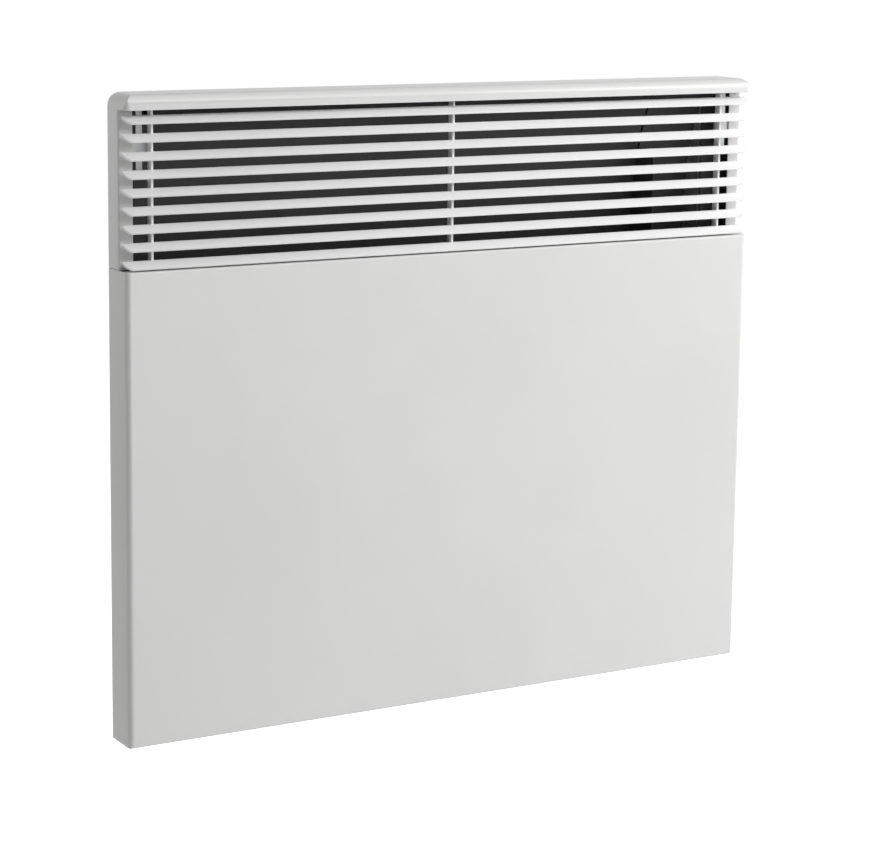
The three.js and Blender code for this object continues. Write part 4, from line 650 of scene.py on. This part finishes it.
def slotted_head(name, radius, height, slot, shank):
    """A slotted pan head whose top faces +Y, with a stub of its shank."""
    head = turned(name, "y", [
        (0, -shank), (radius * 0.45, -shank), (radius * 0.48, 0), (radius * 0.96, 0), (radius, height * 0.1),
        (radius, height * 0.5), (radius * 0.93, height * 0.76), (radius * 0.78, height * 0.92),
        (radius * 0.45, height), (0, height)], sides=32)
    groove = block(name + "_slot", (
        about(0, slot), (height * 0.5, height * 1.5), about(0, radius * 2.6)), 0.02 * MM, 1)
    return cut(head, groove)


def make_screws():
    head = slotted_head("casing_screw", 3.6 * MM, 2 * MM, 1 * MM, 3 * MM)
    for name, height in SCREW_HEIGHTS.items():
        pair = row_of(name + "s", head.copy(), "zinc_sheet", 2, (-SCREW_X, SCREW_FACE, height),
                      (2 * SCREW_X, 0, 0))
        stand_for(pair, name + "_left", name + "_right")


# ---------------------------------------------------------------- edges of the other pieces

EDGES = {
    "front_panel": 0.2, "top_housing": 0.2, "rear_tray": 0.2, "wall_bracket": 0.35, "inlet_grille": 0.1,
    # bay_cover and the two end baffles are near-black sheets set behind the louvre's gaps, where there is
    # only shade: painted shade, like the black-coated air_deflector
    "grille_clip_left": 0.15, "grille_clip_right": 0.15, "heat_shield": 0.12, "air_deflector": 0.12,
    "bay_cover": 0.12, "end_baffle_left": 0.12, "end_baffle_right": 0.12, "control_partition": 0.15,
    "element_support_left": 0.2, "element_support_right": 0.2,
    "element_bush_left": 0.4, "element_bush_right": 0.4, "overheat_cutout": 0.2, "control_module": 0.3,
    "on_off_rocker": 0.35, "pilot_lens": 0.2, "control_board": 0.1, "potentiometer": 0.4,
    "pilot_lamp": 0.3, "switch_contacts": 0.3, "relay": 0.5, "room_sensor": 0.4, "sensor_clip": 0.3,
    "terminal_block": 0.4, "terminal_screw_1": 0.12, "terminal_screw_2": 0.12, "terminal_screw_3": 0.12,
    "earth_screw": 0.2, "cable_gland": 0.4, "gland_nut": 0.3, "latch_left": 0.4, "latch_right": 0.4,
    "latch_pin_left": 0.25, "latch_pin_right": 0.25, "thermostat_shaft": 0.2,
    "partition_grommet_upper": 0.2, "partition_grommet_lower": 0.2,
}
LEADS = ("supply_lead", "switched_lead", "element_lead", "return_lead", "earth_lead", "sensor_lead")
LEAD_SMOOTH_ANGLE = math.radians(70)  # the leads have few sides


# ---------------------------------------------------------------- stage and light

FLOOR_DROP = 0.34  # below the heater's underside
FLOOR_HALF = 14
FLOOR_GLOW = 0.82
WHITE = (1, 1, 1, 1)
MIDDLE = (0, FRONT / 2, BOTTOM + 0.22)  # where the lamps are aimed


def seen_directly(tree):
    """1 for what the camera, a mirror-like surface or a clear one shows; 0 for soft light."""
    path = tree.nodes.new("ShaderNodeLightPath")
    total = path.outputs["Is Camera Ray"]
    for name in ("Is Glossy Ray", "Is Transmission Ray"):
        add = tree.nodes.new("ShaderNodeMath")
        add.operation = "MAXIMUM"
        tree.links.new(total, add.inputs[0])
        tree.links.new(path.outputs[name], add.inputs[1])
        total = add.outputs[0]
    return total


def make_world(ambient):
    world = bpy.data.worlds.new("studio")
    bpy.context.scene.world = world
    world.use_nodes = True
    tree = world.node_tree
    tree.nodes.clear()
    soft = tree.nodes.new("ShaderNodeBackground")
    soft.inputs["Color"].default_value = (0.98, 0.99, 1.0, 1)
    soft.inputs["Strength"].default_value = ambient
    plain = tree.nodes.new("ShaderNodeBackground")
    plain.inputs["Color"].default_value = WHITE
    mix = tree.nodes.new("ShaderNodeMixShader")
    output = tree.nodes.new("ShaderNodeOutputWorld")
    tree.links.new(seen_directly(tree), mix.inputs[0])
    tree.links.new(soft.outputs[0], mix.inputs[1])
    tree.links.new(plain.outputs[0], mix.inputs[2])
    tree.links.new(mix.outputs[0], output.inputs["Surface"])


def make_floor():
    mesh = bpy.data.meshes.new("floor")
    height = BOTTOM - FLOOR_DROP
    corners = [(-1, -1), (1, -1), (1, 1), (-1, 1)]
    mesh.from_pydata([(x * FLOOR_HALF, y * FLOOR_HALF, height) for x, y in corners], [], [(0, 1, 2, 3)])
    floor = add_object("floor", mesh)
    material = bpy.data.materials.new("floor_paint")
    material.use_nodes = True
    tree = material.node_tree
    tree.nodes.clear()
    paint = tree.nodes.new("ShaderNodeBsdfDiffuse")
    paint.inputs["Color"].default_value = (0.86, 0.86, 0.86, 1)
    glow = tree.nodes.new("ShaderNodeEmission")
    glow.inputs["Color"].default_value = WHITE
    glow.inputs["Strength"].default_value = FLOOR_GLOW
    both = tree.nodes.new("ShaderNodeAddShader")
    mix = tree.nodes.new("ShaderNodeMixShader")
    output = tree.nodes.new("ShaderNodeOutputMaterial")
    tree.links.new(paint.outputs[0], both.inputs[0])
    tree.links.new(glow.outputs[0], both.inputs[1])
    tree.links.new(seen_directly(tree), mix.inputs[0])
    tree.links.new(paint.outputs[0], mix.inputs[1])
    tree.links.new(both.outputs[0], mix.inputs[2])
    tree.links.new(mix.outputs[0], output.inputs["Surface"])
    mesh.materials.append(material)


def make_lamp(name, place, target, size, power, colour=(1, 1, 1)):
    data = bpy.data.lights.new(name, "AREA")
    data.shape = "RECTANGLE"
    data.size, data.size_y = size
    data.energy = power
    data.color = colour
    lamp = bpy.data.objects.new(name, data)
    bpy.context.scene.collection.objects.link(lamp)
    lamp.location = place
    aim = Vector(target) - Vector(place)
    lamp.rotation_euler = aim.to_track_quat("-Z", "Y").to_euler()
    return lamp


# ---------------------------------------------------------------- build

make_camera()
make_world(ambient=0.22)
make_floor()
make_lamp("key", (2.0, -1.3, 0.8), MIDDLE, (1.3, 1.3), 40)
make_lamp("front", (0.3, -2.0, 1.3), MIDDLE, (1.3, 1.3), 24)
make_lamp("rear_fill", (-1.4, 1.6, 0.4), MIDDLE, (1.2, 1.6), 7, (1.0, 0.985, 0.95))

for node, source in frame["nodes"].items():
    source.data.materials.clear()
    source.data.materials.append(FINISHES[SLOTS[node]])

for node, edge in EDGES.items():
    eased(node, edge * MM)
for node in LEADS:
    eased(node, angle=LEAD_SMOOTH_ANGLE)
make_slats()
make_ribs()
make_element()
make_knob()
make_dial_marks()
make_rocker_marks()
make_screws()
